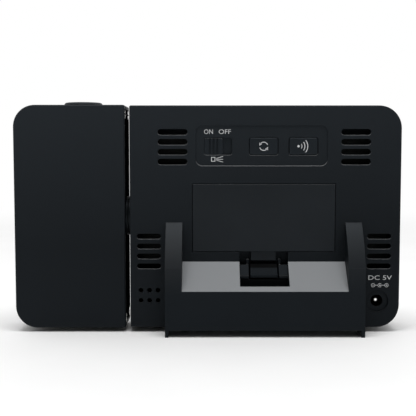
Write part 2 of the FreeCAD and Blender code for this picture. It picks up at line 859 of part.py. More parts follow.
prism(cover, "Pocket", "xz", through_rear, *stand_drills)
prism(cover, "Pocket", "yz", (body_x[1] - d.wall, body_x[1]), circle((pivot_y, pivot_z), hub_hole))
drill_z = (body_z[0], body_z[0] + d.wall)
case_drills = [circle((x, case_screw_y), drill_radius) for x in case_screw_x]
prism(cover, "Pocket", "xy", drill_z, *case_drills)
head_seats = [circle((x, case_screw_y), d.screw_head_radius + d.play) for x in case_screw_x]
prism(cover, "Pocket", "xy", (body_z[0], body_z[0] + d.screw_head), *head_seats)

# Posts for the two key boards
rear_board_y = (inner_rear - d.key_board_drop - d.key_board_thickness, inner_rear - d.key_board_drop)
rear_board_x = (panel_x[0] + d.key_board_margin, panel_x[1] - d.key_board_margin)
rear_board_z = (panel_z[0] + d.key_board_margin / 2, panel_z[1] - d.key_board_margin / 2)
rear_posts = [
    circle((x, z), d.key_post_radius)
    for x in (rear_board_x[0] + d.key_post_inset, rear_board_x[1] - d.key_post_inset)
    for z in (rear_board_z[0] + d.key_post_inset, rear_board_z[1] - d.key_post_inset)
]
prism(cover, "Pad", "xz", (rear_board_y[1], inner_rear), *rear_posts)
top_posts = [
    circle((service_x + offset * side, pivot_y), d.key_post_radius)
    for offset in (d.near_post_offset, d.far_post_offset)
    for side in (-1, 1)
]
prism(cover, "Pad", "xy", (top_board_z[1], inner_top), *top_posts)

# Shoulders and prongs beside the door catch
lip_y = rear_y + d.catch_lip


def catch_profile(back, drop):
    """Side view of the catch: a sloping grip that ends in a lip."""
    top = catch_z[1] - drop
    low = catch_z[0] - drop
    crest = rear_y - d.shoulder_drop
    foot = lip_y - d.catch_lip_height - drop
    return polygon(
        (back, low),
        (lip_y - drop, low),
        (lip_y - drop, low + d.catch_lip_height),
        (foot, low + d.shoulder_slope_height),
        (crest, top),
        (back, top),
    )


tab_x = around(service_x, d.tab_length)
shoulder_back = rear_y - d.catch_top
shoulders = ((pocket_x[0], tab_x[0] - d.tab_gap), (tab_x[1] + d.tab_gap, pocket_x[1]))
for span in shoulders:
    prism(cover, "Pad", "yz", span, catch_profile(shoulder_back, d.shoulder_drop))
prong_spans = (
    (tab_x[0] - d.tab_gap - d.prong_width, tab_x[0] - d.tab_gap),
    (tab_x[1] + d.tab_gap, tab_x[1] + d.tab_gap + d.prong_width),
)
prong_z = (catch_z[1] - d.shoulder_drop, catch_z[1] - d.shoulder_drop + d.prong_height)
prongs = [rectangle(span, prong_z) for span in prong_spans]
prism(cover, "Pad", "xz", (shoulder_back, shoulder_back + d.prong_width), *prongs)

# Battery door and its sprung catch

door = new_body("battery_door")
prism(door, "Pad", "xz", door_y, rectangle(door_x, door_z))
round_edges(door, d.door_gap, flat_at("y", rear_y))
neck_z = (hook_z[0] - d.hook_reach * 2, hook_z[0] - d.hook_reach)
necks = [rectangle(around(x, d.hook_width), neck_z) for x in hook_centres]
prism(door, "Pad", "xz", (hook_y[0], door_y[0]), *necks)
hooks = [rectangle(around(x, d.hook_width), (neck_z[0], hook_z[1])) for x in hook_centres]
prism(door, "Pad", "xz", hook_y, *hooks)
tongue_z = (door_z[0] - d.tongue_drop, door_z[0] + d.tongue_drop / 2)
prism(door, "Pad", "xz", tongue_y, rectangle(around(service_x, d.tongue_width), tongue_z))

catch = new_body("door_latch")
tab_back = rear_y - d.tab_root
prism(catch, "Pad", "yz", tab_x, catch_profile(tab_back, 0))
leg_y = (recess_y[0] + d.leg_gap, recess_y[0] + d.leg_gap + d.leg_thickness)
web_x = around(service_x, d.tongue_width)
web_z = (middle(catch_z) - d.leg_thickness, middle(catch_z) + d.leg_thickness)
prism(catch, "Pad", "xz", (leg_y[0], tab_back), rectangle(web_x, web_z))
legs = [
    rectangle((web_x[0], web_x[0] + d.leg_width), (web_z[0], body_z[0] + d.leg_height)),
    rectangle((web_x[1] - d.leg_width, web_x[1]), (web_z[0], body_z[0] + d.leg_height)),
]
prism(catch, "Pad", "xz", leg_y, *legs)

# Battery contacts: springs and plates at alternate ends of three cells

cell_y = bay_floor + d.cell_pitch / 2
plates = []
springs = []
for lane in (-1, 0, 1):
    lane_z = middle(bay_z) + d.cell_pitch * lane
    plate_y = around(cell_y, d.contact_size)
    plate_z = around(lane_z, d.contact_size)
    plates.append(box((bay_x[0], bay_x[0] + d.contact_thickness), plate_y, plate_z))
    plates.append(box((bay_x[1] - d.contact_thickness, bay_x[1]), plate_y, plate_z))
    radii = (d.contact_spring_radius, d.contact_tip_radius)
    if lane == 0:
        tip = bay_x[1] - d.contact_thickness
        springs.append(cone("x", (cell_y, lane_z), radii[::-1], (tip - d.contact_spring, tip)))
    else:
        root = bay_x[0] + d.contact_thickness
        springs.append(cone("x", (cell_y, lane_z), radii, (root, root + d.contact_spring)))
group("battery_plates", plates)
group("battery_springs", springs)

# Rear controls

node("rear_key_board", box(rear_board_x, rear_board_y, rear_board_z))


def cap(label, outline, flange, axis_plane, top, under):
    """Button cap with a flange behind the wall and a stem that reaches for its switch."""
    body = new_body(label)
    flange_span = (under - d.flange_drop - d.flange_thickness, under - d.flange_drop)
    prism(body, "Pad", axis_plane, (flange_span[0], top), outline)
    round_edges(body, d.edge_round / 2, flat_at("y" if axis_plane == "xz" else "z", top))
    prism(body, "Pad", axis_plane, flange_span, flange)
    return flange_span[0]


button_top = panel_y + d.button_proud
tact_tops = []
for label, x in zip(("flip_button", "wave_button"), button_centres):
    inner = d.button_length - d.moving_gap * 2
    inner_height = d.button_height - d.moving_gap * 2
    face = rounded(around(x, inner), around(control_z, inner_height), [d.button_corner - d.moving_gap] * 4)
    skirt_z = around(control_z, d.button_height + d.flange_width * 2)
    skirt = rectangle(around(x, d.button_length + d.flange_width * 2), skirt_z)
    tact_tops.append((x, cap(label, face, skirt, "xz", button_top, inner_rear)))
tacts = [
    box(around(x, d.tact_size), (rear_board_y[1], low - d.tact_gap), around(control_z, d.tact_size))
    for x, low in tact_tops
]
group("rear_key_switches", tacts)

knob = new_body("projection_switch_knob")
knob_x = (switch_x[1] - d.play - d.knob_length, switch_x[1] - d.play)
knob_z = around(control_z, d.switch_height - d.moving_gap * 2)
knob_flange_y = (inner_rear - d.flange_drop - d.flange_thickness, inner_rear - d.flange_drop)
knob_top = panel_y - d.play
prism(knob, "Pad", "xz", (knob_flange_y[0], knob_top), rounded(knob_x, knob_z, [d.switch_corner] * 4))
knob_skirt_x = (knob_x[0] - d.knob_flange, knob_x[1] + d.knob_flange)
knob_skirt_z = around(control_z, d.switch_height + d.flange_width)
prism(knob, "Pad", "xz", knob_flange_y, rectangle(knob_skirt_x, knob_skirt_z))
groove_span = (knob_top - d.knob_groove_depth, knob_top)
grooves = [
    rectangle(around(middle(knob_x) + d.knob_groove_pitch * place, d.knob_groove), knob_z)
    for place in (-1, 0, 1)
]
prism(knob, "Pocket", "xz", groove_span, *grooves)
slider_y = (rear_board_y[1], knob_flange_y[0] - d.moving_gap)
slider_x = around(middle(switch_x), d.switch_length)
node("slide_switch_body", box(slider_x, slider_y, around(control_z, d.tact_size)))

# Top keys

top_board_x = around(service_x, d.top_board_length)
node("top_key_board", box(top_board_x, around(pivot_y, d.top_board_width), top_board_z))
key_top = body_z[1] + d.button_proud
top_tacts = []
for label, (x, length) in key_centres.items():
    inner = length - d.moving_gap * 2
    face_y = around(pivot_y, d.key_width - d.moving_gap * 2)
    face = rounded(around(x, inner), face_y, [d.key_corner - d.moving_gap] * 4)
    skirt_y = around(pivot_y, d.key_width + d.flange_width * 2)
    skirt = rectangle(around(x, length + d.flange_width * 2), skirt_y)
    low = cap(label, face, skirt, "xy", key_top, inner_top)
    tact_z = (top_board_z[1], low - d.tact_gap)
    top_tacts.append(box(around(x, d.tact_size), around(pivot_y, d.tact_size), tact_z))
group("top_key_switches", top_tacts)

# Buzzer and power inlet

buzzer_y = (inner_rear - d.moving_gap - d.buzzer_depth, inner_rear - d.moving_gap)
node("buzzer", rod("y", (sound_x, sound_z), d.buzzer_radius, buzzer_y))
jack_front = inner_rear - d.play
jack_body = box(around(jack_x, d.jack_length), (board_y[1], jack_front), around(jack_z, d.jack_width))
jack_bore = (jack_front - d.jack_bore_depth, jack_front)
node("dc_jack", cut(jack_body, rod("y", (jack_x, jack_z), d.jack_bore_radius, jack_bore)))
node("dc_jack_pin", rod("y", (jack_x, jack_z), d.pin_radius, (jack_bore[0], jack_front - d.pin_recess)))

# Stand foot: two arms, a sloping ledge, a skirt and skids

ledge_top = body_z[0] + d.ledge_top
ledge_low = body_z[0] + d.ledge_low
skirt_z = body_z[0] + d.skirt_gap
arm_top = body_z[0] + d.arm_top
arm_low = body_z[0] + d.arm_low

stand = new_body("stand_foot")
ledge_profile = polygon((rear_y, skirt_z), (foot_y, skirt_z), (foot_y, ledge_low), (rear_y, ledge_top))
prism(stand, "Pad", "yz", stand_x, ledge_profile)
arm_profile = polygon(
    (rear_y, skirt_z),
    (foot_y, skirt_z),
    (foot_y, ledge_low),
    (foot_y - d.arm_step, arm_low, d.arm_bulge),
    (rear_y, arm_top),
)
arm_spans = ((stand_x[0], stand_x[0] + d.arm_width), (stand_x[1] - d.arm_width, stand_x[1]))
for span in arm_spans:
    prism(stand, "Pad", "yz", span, arm_profile)
skid_spans = ((stand_x[0], stand_x[0] + d.skid_width), (stand_x[1] - d.skid_width, stand_x[1]))
for span in skid_spans:
    prism(stand, "Pad", "yz", span, rectangle((rear_y, foot_y), (0, skirt_z)))
hollow_x = (stand_x[0] + d.skid_width, stand_x[1] - d.skid_width)
hollow_profile = polygon(
    (rear_y, skirt_z),
    (foot_y - d.stand_wall, skirt_z),
    (foot_y - d.stand_wall, ledge_low - d.stand_wall),
    (rear_y, ledge_top - d.ledge_skin),
)
prism(stand, "Pocket", "yz", hollow_x, hollow_profile)
pocket_y = (rear_y, rear_y + d.pocket_depth)
pocket_z = body_z[0] + d.pocket_floor
tray_back = pocket_y[1] + d.pocket_wall
slope = (ledge_top - ledge_low) / d.stand_depth
pocket_tray = polygon(
    (rear_y, pocket_z - d.pocket_wall),
    (tray_back, pocket_z - d.pocket_wall),
    (tray_back, ledge_top - slope * (d.pocket_depth + d.pocket_wall)),
    (rear_y, ledge_top),
)
prism(stand, "Pad", "yz", (pocket_x[0] - d.pocket_wall, pocket_x[1] + d.pocket_wall), pocket_tray)
prism(stand, "Pocket", "yz", pocket_x, rectangle(pocket_y, (pocket_z, ledge_top)))
stand_pilots = [circle((x, stand_screw_z), pilot_radius) for x in arm_centres]
prism(stand, "Pocket", "xz", (rear_y, rear_y + d.stand_screw_depth + d.play), *stand_pilots)

pad_y = (front_y + d.foot_pad_inset, front_y + d.foot_pad_inset + d.foot_pad_width)
feet = []
for x in (service_x - d.foot_pad_offset - d.lug_length, service_x + d.foot_pad_offset + d.lug_length):
    feet.append(box(around(x, d.foot_pad_length), pad_y, (0, body_z[0])))
group("front_feet", feet)

# Screws

board_screws = [
    screw("y", (x, z), board_y[1] + d.screw_head, board_y[1] - d.screw_length + d.play)
    for x in post_x
    for z in post_z
]
group("board_screws", board_screws)
stand_tip = rear_y + d.stand_screw_depth
stand_screws = [screw("y", (x, stand_screw_z), inner_rear - d.screw_head, stand_tip, -1) for x in arm_centres]
group("stand_screws", stand_screws)
case_tip = body_z[0] + d.case_screw_length
case_screws = [screw("z", (x, case_screw_y), body_z[0], case_tip, -1) for x in case_screw_x]
group("case_screws", case_screws)

# Hub: bush in the case, shaft on the projector block

hub_centre = (pivot_y, pivot_z)
ring_gap = (d.hub_gap - d.hub_split) / 2
bush_bore = d.shaft_radius + d.shaft_play
bush_end = body_x[1] - d.wall - d.bush_tail
turned(
    "pivot_bush",
    "x",
    hub_centre,
    (bush_bore, bush_end),
    (d.shaft_radius + d.bush_wall, bush_end),
    (d.shaft_radius + d.bush_wall, body_x[1]),
    (d.hub_radius, body_x[1]),
    (d.hub_radius, body_x[1] + ring_gap),
    (bush_bore, body_x[1] + ring_gap),
)
washer_x = (bush_end - d.play - d.washer_thickness, bush_end - d.play)
node("friction_washer", tube("x", hub_centre, d.washer_radius, d.shaft_radius + d.play, washer_x))
ring_x = (washer_x[0] - d.play - d.ring_thickness, washer_x[0] - d.play)
neck = d.shaft_radius - d.ring_bite
node("retaining_ring", tube("x", hub_centre, d.ring_radius, neck + d.shaft_play, ring_x))
cap_x = (block_x[0], block_x[0] + d.cap_thickness)
nut_x = (cap_x[1], cap_x[1] + d.nut_thickness)
turned(
    "pivot_shaft",
    "x",
    hub_centre,
    (d.shaft_bore_radius, ring_x[0] - d.shaft_tail),
    (d.shaft_radius, ring_x[0] - d.shaft_tail),
    (d.shaft_radius, ring_x[0] - d.shaft_play),
    (neck, ring_x[0] - d.shaft_play),
    (neck, ring_x[1] + d.shaft_play),
    (d.shaft_radius, ring_x[1] + d.shaft_play),
    (d.shaft_radius, block_x[0] - ring_gap),
    (d.hub_radius, block_x[0] - ring_gap),
    (d.hub_radius, block_x[0]),
    (d.shaft_radius, block_x[0]),
    (d.shaft_radius, nut_x[1] + d.shaft_tail),
    (d.shaft_bore_radius, nut_x[1] + d.shaft_tail),
)
node("shaft_nut", tube("x", hub_centre, d.nut_radius, d.shaft_radius + d.shaft_play, nut_x))

# Projector block

inner_block_y = (front_y + d.wall, rear_y - d.wall)
inner_block_z = (block_z[0] + d.wall, block_z[1] - d.wall)
lens_x = block_x[0] + d.lens_offset
lens_centre = (lens_x, pivot_y)
block_radii = (d.small_corner, d.block_corner, d.block_corner, d.small_corner)
inner_corner = d.block_corner - d.wall
inner_radii = (d.small_corner, inner_corner, inner_corner, d.small_corner)
projector_board_y = (inner_block_y[1] - d.projector_board_drop - d.board_thickness,
                     inner_block_y[1] - d.projector_board_drop)
projector_board_x = (block_x[0] + d.projector_board_offset,
                     block_x[0] + d.projector_board_offset + d.projector_board_length)
flange_top = inner_block_z[1] - d.flange_drop
flange_low = flange_top - d.focus_flange_thickness
tube_z = (flange_low - d.tube_clearance - d.tube_length, flange_low - d.tube_clearance)
image_z = (tube_z[0] - d.image_clearance - d.image_thickness, tube_z[0] - d.image_clearance)
lamp_z = (image_z[0] - d.lamp_length, image_z[0])
led_z = (lamp_z[0] - d.led_board, lamp_z[0])
sink_low = led_z[0] - d.sink_height
projector_board_z = (block_z[0] + d.projector_board_low, sink_low - d.projector_board_clearance)

shell = new_body("projector_shell")
prism(shell, "Pad", "xz", (front_y, rear_y), rounded(block_x, block_z, block_radii))
round_edges(shell, d.edge_round, lambda bounds: flat_at("y", front_y)(bounds) or flat_at("y", rear_y)(bounds))
inner_x = (block_x[0] - d.wall, block_x[1] - d.wall)
prism(shell, "Pocket", "xz", inner_block_y, rounded(inner_x, inner_block_z, inner_radii))
ring_hole = circle(lens_centre, d.focus_radius + d.focus_gap)
prism(shell, "Pocket", "xy", (inner_block_z[1], block_z[1]), ring_hole)
boss_places = [
    (y, z)
    for y in (inner_block_y[0] + d.cap_screw_inset, inner_block_y[1] - d.cap_screw_inset)
    for z in (inner_block_z[0] + d.cap_screw_inset, inner_block_z[1] - d.cap_screw_inset)
]
boss_x = (cap_x[1] + d.play, cap_x[1] + d.cap_boss_length)
prism(shell, "Pad", "yz", boss_x, *[circle(place, d.cap_boss_radius) for place in boss_places])
prism(shell, "Pocket", "yz", boss_x, *[circle(place, pilot_radius) for place in boss_places])
board_posts = [
    circle((x, z), d.post_radius)
    for x in (projector_board_x[0] + d.post_inset, projector_board_x[1] - d.post_inset)
    for z in (projector_board_z[0] + d.post_inset, projector_board_z[1] - d.post_inset)
]
prism(shell, "Pad", "xz", (projector_board_y[1], inner_block_y[1]), *board_posts)

end_cap = new_body("projector_end_cap")
cap_y = (inner_block_y[0] + d.play, inner_block_y[1] - d.play)
cap_z = (inner_block_z[0] + d.play, inner_block_z[1] - d.play)
prism(end_cap, "Pad", "yz", cap_x, rectangle(cap_y, cap_z))
prism(end_cap, "Pocket", "yz", cap_x, circle(hub_centre, d.shaft_radius + d.shaft_play))
prism(end_cap, "Pocket", "yz", cap_x, *[circle(place, drill_radius) for place in boss_places])
seat_x = (cap_x[0], cap_x[0] + d.screw_head)
seats = [circle(place, d.screw_head_radius + d.play) for place in boss_places]
prism(end_cap, "Pocket", "yz", seat_x, *seats)
cap_tip = cap_x[1] + d.cap_boss_length - d.play
group("end_cap_screws", [screw("x", place, cap_x[0], cap_tip, -1) for place in boss_places])

# Projector optics, from the light upwards

lamp_outer = box(around(lens_x, d.lamp_width), around(pivot_y, d.lamp_width), lamp_z)
lamp_inner_width = d.lamp_width - d.lamp_wall * 2
lamp_inner = box(around(lens_x, lamp_inner_width), around(pivot_y, lamp_inner_width), lamp_z)
node("lamp_house", cut(lamp_outer, lamp_inner))
led_plate = box(around(lens_x, d.lamp_width), around(pivot_y, d.lamp_width), led_z)
led_dome = rod("z", lens_centre, d.led_radius, (led_z[1], led_z[1] + d.led_height))
node("projection_led", fuse(led_plate, led_dome))
sink_z = (led_z[0] - d.sink_base, led_z[0])
sink_plate = box(around(lens_x, d.lamp_width), around(pivot_y, d.lamp_width), sink_z)
fin_pitch = (d.lamp_width - d.sink_fin) / FIN_GAPS
fins = [
    box(
        around(lens_x + fin_pitch * place, d.sink_fin),
        around(pivot_y, d.lamp_width),
        (sink_low, sink_z[0]),
    )
    for place in range(-FIN_GAPS // 2, FIN_GAPS // 2 + 1)
]
node("led_heat_sink", fuse(sink_plate, *fins))


def domed_lens(label, radius, low, thickness, dome):
    """Lens with a flat lower face and a domed upper face."""
    ball = doc.addObject("Part::Sphere", label + "_ball")
    bind(ball, "Radius", dome)
    bind(ball, "Placement.Base.x", lens_centre[0])
    bind(ball, "Placement.Base.y", lens_centre[1])
    bind(ball, "Placement.Base.z", low + thickness - dome)
    lens = doc.addObject("Part::Common", label)
    lens.Base = rod("z", lens_centre, radius, (low, low + thickness))
    lens.Tool = ball
    return node(label, lens)


condenser_radius = lamp_inner_width / 2 - d.play
condenser_low = lamp_z[0] + d.condenser_rise
domed_lens("condenser_lens", condenser_radius, condenser_low, d.condenser_thickness, d.condenser_dome_radius)
node("projection_lcd", box(around(lens_x, d.lamp_width), around(pivot_y, d.image_width), image_z))

tube_bore = d.barrel_radius + d.tube_bore_gap
plate_z = (tube_z[1] - d.tube_plate_drop, tube_z[1] - d.tube_plate_drop + d.tube_plate_thickness)
plate_y = (inner_block_y[0] + d.play, inner_block_y[1] - d.play)
tube_plate = box(around(lens_x, d.tube_plate_length), plate_y, plate_z)
tube_shell = fuse(rod("z", lens_centre, d.tube_radius, tube_z), tube_plate)
node("optics_tube", cut(tube_shell, rod("z", lens_centre, tube_bore, tube_z)))

barrel_z = (block_z[1] - d.barrel_length, block_z[1])
barrel_bore = d.barrel_radius - d.barrel_wall
lens_low = barrel_z[1] - d.lens_depth - d.lens_thickness
turned(
    "lens_barrel",
    "z",
    lens_centre,
    (barrel_bore - d.barrel_stop, barrel_z[0]),
    (d.barrel_radius, barrel_z[0]),
    (d.barrel_radius, barrel_z[1]),
    (barrel_bore, barrel_z[1]),
    (barrel_bore, lens_low),
    (barrel_bore - d.barrel_stop, lens_low),
)
domed_lens("projection_lens", barrel_bore - d.play / 2, lens_low, d.lens_thickness, d.lens_dome_radius)

focus_top = block_z[1] + d.focus_rise
flange_radius = (inner_block_y[1] - inner_block_y[0]) / 2 - d.moving_gap
ring_bore = d.barrel_radius + d.moving_gap
focus = turned(
    "focus_ring",
    "z",
    lens_centre,
    (ring_bore, flange_low),
    (flange_radius, flange_low),
    (flange_radius, flange_top),
    (d.focus_radius, flange_top),
    (d.focus_radius, focus_top),
    (ring_bore, focus_top),
)
focus_edge = as_size(focus_top).value
outer_edge = d.focus_radius.value


def is_focus_rim(bounds):
    return abs(bounds.ZMin - focus_edge) < 1e-4 and bounds.XLength > 2 * outer_edge - 1e-3


round_edges(focus, d.focus_dome, is_focus_rim)

board_plate = box(projector_board_x, projector_board_y, projector_board_z)
node("projector_board", board_plate)
parts_y = (projector_board_y[0] - d.chip_thickness, projector_board_y[0])
can_span = (projector_board_y[0] - d.capacitor_length, projector_board_y[0])
board_middle = middle(projector_board_z)
driver_x = projector_board_x[0] + d.chip_size
projector_parts = [
    box(around(driver_x, d.chip_size), parts_y, around(board_middle, d.chip_size)),
    rod("y", (projector_board_x[1] - d.chip_size, board_middle), d.capacitor_radius, can_span),
]
group("projector_chips", projector_parts)

# Check every object, then write one file for each sub-part

doc.recompute()
for item in doc.Objects:
    if "Invalid" in item.State or "Error" in item.State:
        raise RuntimeError("%s did not build: %s" % (item.Label, item.State))
os.makedirs("parts", exist_ok=True)
for item in nodes:
    if item.Shape.isNull() or not item.Shape.isValid():
        raise RuntimeError("%s has no valid shape" % item.Label)
for item in nodes:
    item.Shape.exportStep("parts/%s.step" % item.Label)
print("%d sub-parts written" % len(nodes))
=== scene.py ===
"""Looks of a projection alarm clock: a black case with a projector block at its side, seen from behind."""

import math

import bpy
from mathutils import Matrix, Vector


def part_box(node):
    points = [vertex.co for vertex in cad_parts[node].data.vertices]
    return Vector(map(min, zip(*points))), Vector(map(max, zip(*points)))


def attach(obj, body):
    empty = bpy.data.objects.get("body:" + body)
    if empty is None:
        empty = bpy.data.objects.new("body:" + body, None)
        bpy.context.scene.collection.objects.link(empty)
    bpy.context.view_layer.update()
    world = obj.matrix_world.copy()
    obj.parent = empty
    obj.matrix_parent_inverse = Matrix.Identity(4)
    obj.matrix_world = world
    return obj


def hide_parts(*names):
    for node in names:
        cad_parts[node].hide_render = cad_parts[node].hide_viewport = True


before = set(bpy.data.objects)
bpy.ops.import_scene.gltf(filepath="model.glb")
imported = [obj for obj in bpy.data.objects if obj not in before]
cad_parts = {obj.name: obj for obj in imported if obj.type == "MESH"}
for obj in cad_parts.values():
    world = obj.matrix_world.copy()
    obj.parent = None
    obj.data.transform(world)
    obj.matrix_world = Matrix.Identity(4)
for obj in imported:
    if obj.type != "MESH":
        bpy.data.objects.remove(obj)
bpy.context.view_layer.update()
MM = 0.001

# Places on the clock, in millimetres of the row frame. The rear face looks along +Y and the display along -Y.
PANEL_Y = 6.0
CAP_Y = 6.3
REAR_Y = 6.5
LCD_Y = -16.4
KEY_ROW_Y = -6.5
KEY_TOP_Z = 118.4
HALF_LENGTH = 100.0
CASE_TOP_Z = 118.0
OPENINGS_Z, OPENINGS_HALF_HEIGHT = 74.5, 41.5
DOOR_SEAM_Z, DOOR_SEAM_HALF_HEIGHT = 42.1, 0.55
LEDGE_HALF_LENGTH = 42.3
CATCH_SHADE_Z = 34.0
ARM_FADE_LOW_Z, ARM_FADE_HIGH_Z = 22.0, 46.0
RIGHT_ARM_X, LEFT_ARM_X = -80.0, 22.0
PIN_Z, POLARITY_Z, VOLTAGE_Z = 16.5, 24.75, 28.75
SWITCH_SIGN_Z, KEY_SIGN_Z, SWITCH_WORDS_Z = 90.4, 97.1, 104.6
TIME_Z, RULE_Z, SMALL_ROW_Z = 52.0, 46.2, 31.0

# How far print lies towards +X from the middle of the controls, of the inlet or of the display.
ON_ASIDE, OFF_ASIDE, SWITCH_SIGN_ASIDE = 28.75, 20.3, 24.2
POLARITY_ASIDE, VOLTAGE_ASIDE = -1.4, -1.5
SMALL_ROW_PITCH, RULE_HALF_LENGTH = 37.0, 50.0

# How far print stands out of its face, and how far it starts below it.
PRINT_DEPTH = 0.04
LIT_DEPTH = 0.05
PRINT_ROOT = -0.01


def middle_x(node):
    """The middle of a CAD piece along X, in millimetres."""
    low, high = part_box(node)
    return (low[0] + high[0]) / 2 / MM


SERVICE_X = middle_x("snooze_bar")
DISPLAY_X = middle_x("lcd_panel")
JACK_X = middle_x("dc_jack")


# Materials

class Nodes:
    """Short calls for the nodes of one material or world."""

    def __init__(self, tree):
        self.tree = tree

    def add(self, kind, **settings):
        made = self.tree.nodes.new(kind)
        for key, value in settings.items():
            setattr(made, key, value)
        return made

    def link(self, source, target):
        self.tree.links.new(source, target)

    def fill(self, target, value):
        """Links a socket to another one, or gives it a plain value."""
        if isinstance(value, bpy.types.NodeSocket):
            self.link(value, target)
        else:
            target.default_value = value

    def split(self, vector):
        """The parts of a vector, by the names of its axes."""
        made = self.add("ShaderNodeSeparateXYZ")
        self.link(vector, made.inputs[0])
        return made.outputs

    def spread(self, value, low, high, start=0.3, end=0.7, smooth=False):
        """Maps start to end onto low to high."""
        made = self.add("ShaderNodeMapRange", interpolation_type="SMOOTHSTEP" if smooth else "LINEAR")
        self.link(value, made.inputs["Value"])
        for key, number in (("From Min", start), ("From Max", end), ("To Min", low), ("To Max", high)):
            made.inputs[key].default_value = number
        return made.outputs["Result"]

    def maths(self, operation, first, second=0.0):
        made = self.add("ShaderNodeMath", operation=operation)
        self.fill(made.inputs[0], first)
        self.fill(made.inputs[1], second)
        return made.outputs[0]

    def distance(self, across, upward):
        """The length of two steps at a right angle."""
        squares = [self.maths("MULTIPLY", step, step) for step in (across, upward)]
        return self.maths("SQRT", self.maths("ADD", *squares))

    def mix(self, share, first, second):
        """Two colours mixed by share."""
        made = self.add("ShaderNodeMix", data_type="RGBA")
        self.fill(made.inputs[0], share)
        self.fill(made.inputs[6], first)
        self.fill(made.inputs[7], second)
        return made.outputs[2]

    def blend(self, share, first, second):
        """Two numbers mixed by share."""
        made = self.add("ShaderNodeMix", data_type="FLOAT")
        self.fill(made.inputs[0], share)
        self.fill(made.inputs[2], first)
        self.fill(made.inputs[3], second)
        return made.outputs[0]


class Shader(Nodes):
    """A node material round one principled shader, in the piece's own frame."""

    SOCKETS = {"colour": "Base Color", "roughness": "Roughness", "normal": "Normal", "metallic": "Metallic",
               "ior": "IOR", "level": "Specular IOR Level", "tint": "Specular Tint",
               "transmission": "Transmission Weight", "glow": "Emission Color",
               "glow_strength": "Emission Strength"}

    def __init__(self, name):
        self.material = bpy.data.materials.new(name)
        self.material.use_nodes = True
        super().__init__(self.material.node_tree)
        self.surface = self.tree.nodes["Principled BSDF"]
        self.output = self.tree.nodes["Material Output"]
        self.place = self.add("ShaderNodeTexCoord").outputs["Object"]

    def set(self, **values):
        for key, value in values.items():
            self.fill(self.surface.inputs[self.SOCKETS[key]], value)

    def along(self, axis):
        """The place along one axis, in metres."""
        return self.split(self.place)[axis]

    def within(self, axis, centre_mm, half_mm):
        """1 inside a band along one axis, 0 outside it."""
        away = self.maths("ABSOLUTE", self.maths("SUBTRACT", self.along(axis), centre_mm * MM))
        return self.maths("LESS_THAN", away, half_mm * MM)

    def noise(self, size_mm, detail=2.0, rough=0.5, stretch=None):
        """Noise whose grains are about size_mm across, 0 to 1."""
        source = self.place
        if stretch:
            squeeze = self.add("ShaderNodeMapping")
            squeeze.inputs["Scale"].default_value = stretch
            self.link(source, squeeze.inputs["Vector"])
            source = squeeze.outputs["Vector"]
        made = self.add("ShaderNodeTexNoise")
        self.link(source, made.inputs["Vector"])
        made.inputs["Scale"].default_value = 1 / (size_mm * MM)
        made.inputs["Detail"].default_value = detail
        made.inputs["Roughness"].default_value = rough
        return made.outputs["Fac"]

    def bump(self, height, depth_mm, strength=1.0, under=None):
        made = self.add("ShaderNodeBump")
        made.inputs["Strength"].default_value = strength
        made.inputs["Distance"].default_value = depth_mm * MM
        self.link(height, made.inputs["Height"])
        if under:
            self.link(under, made.inputs["Normal"])
        return made.outputs["Normal"]

    def soft_edges(self, radius_mm=0.35):
        """Normals that turn over each sharp edge, as a moulding's small radius does."""
        made = self.add("ShaderNodeBevel", samples=6)
        made.inputs["Radius"].default_value = radius_mm * MM
        return made.outputs["Normal"]

    def upward(self, start, end):
        """0 on faces that look sideways, up to 1 on those that look up."""
        normal = self.split(self.add("ShaderNodeTexCoord").outputs["Normal"])
        return self.spread(normal["Z"], 0.0, 1.0, start, end)

    def upper_lips(self, radius_mm=0.5):
        """1 on the small radius where a sideways face turns upward, 0 elsewhere."""
        turned = self.add("ShaderNodeVectorTransform", vector_type="NORMAL", convert_from="WORLD",
                          convert_to="OBJECT")
        self.link(self.soft_edges(radius_mm), turned.inputs[0])
        rounded = self.spread(self.split(turned.outputs[0])["Z"], 0.0, 1.0, start=0.12, end=0.5)
        level = self.upward(start=0.05, end=0.3)
        return self.maths("MAXIMUM", self.maths("SUBTRACT", rounded, level))


def grey(value, blue=0.0):
    return (value, value * (1 + blue / 2), value * (1 + blue), 1)


def dimmed(colour, share=0.72):
    return tuple(part * share for part in colour[:3]) + (1,)


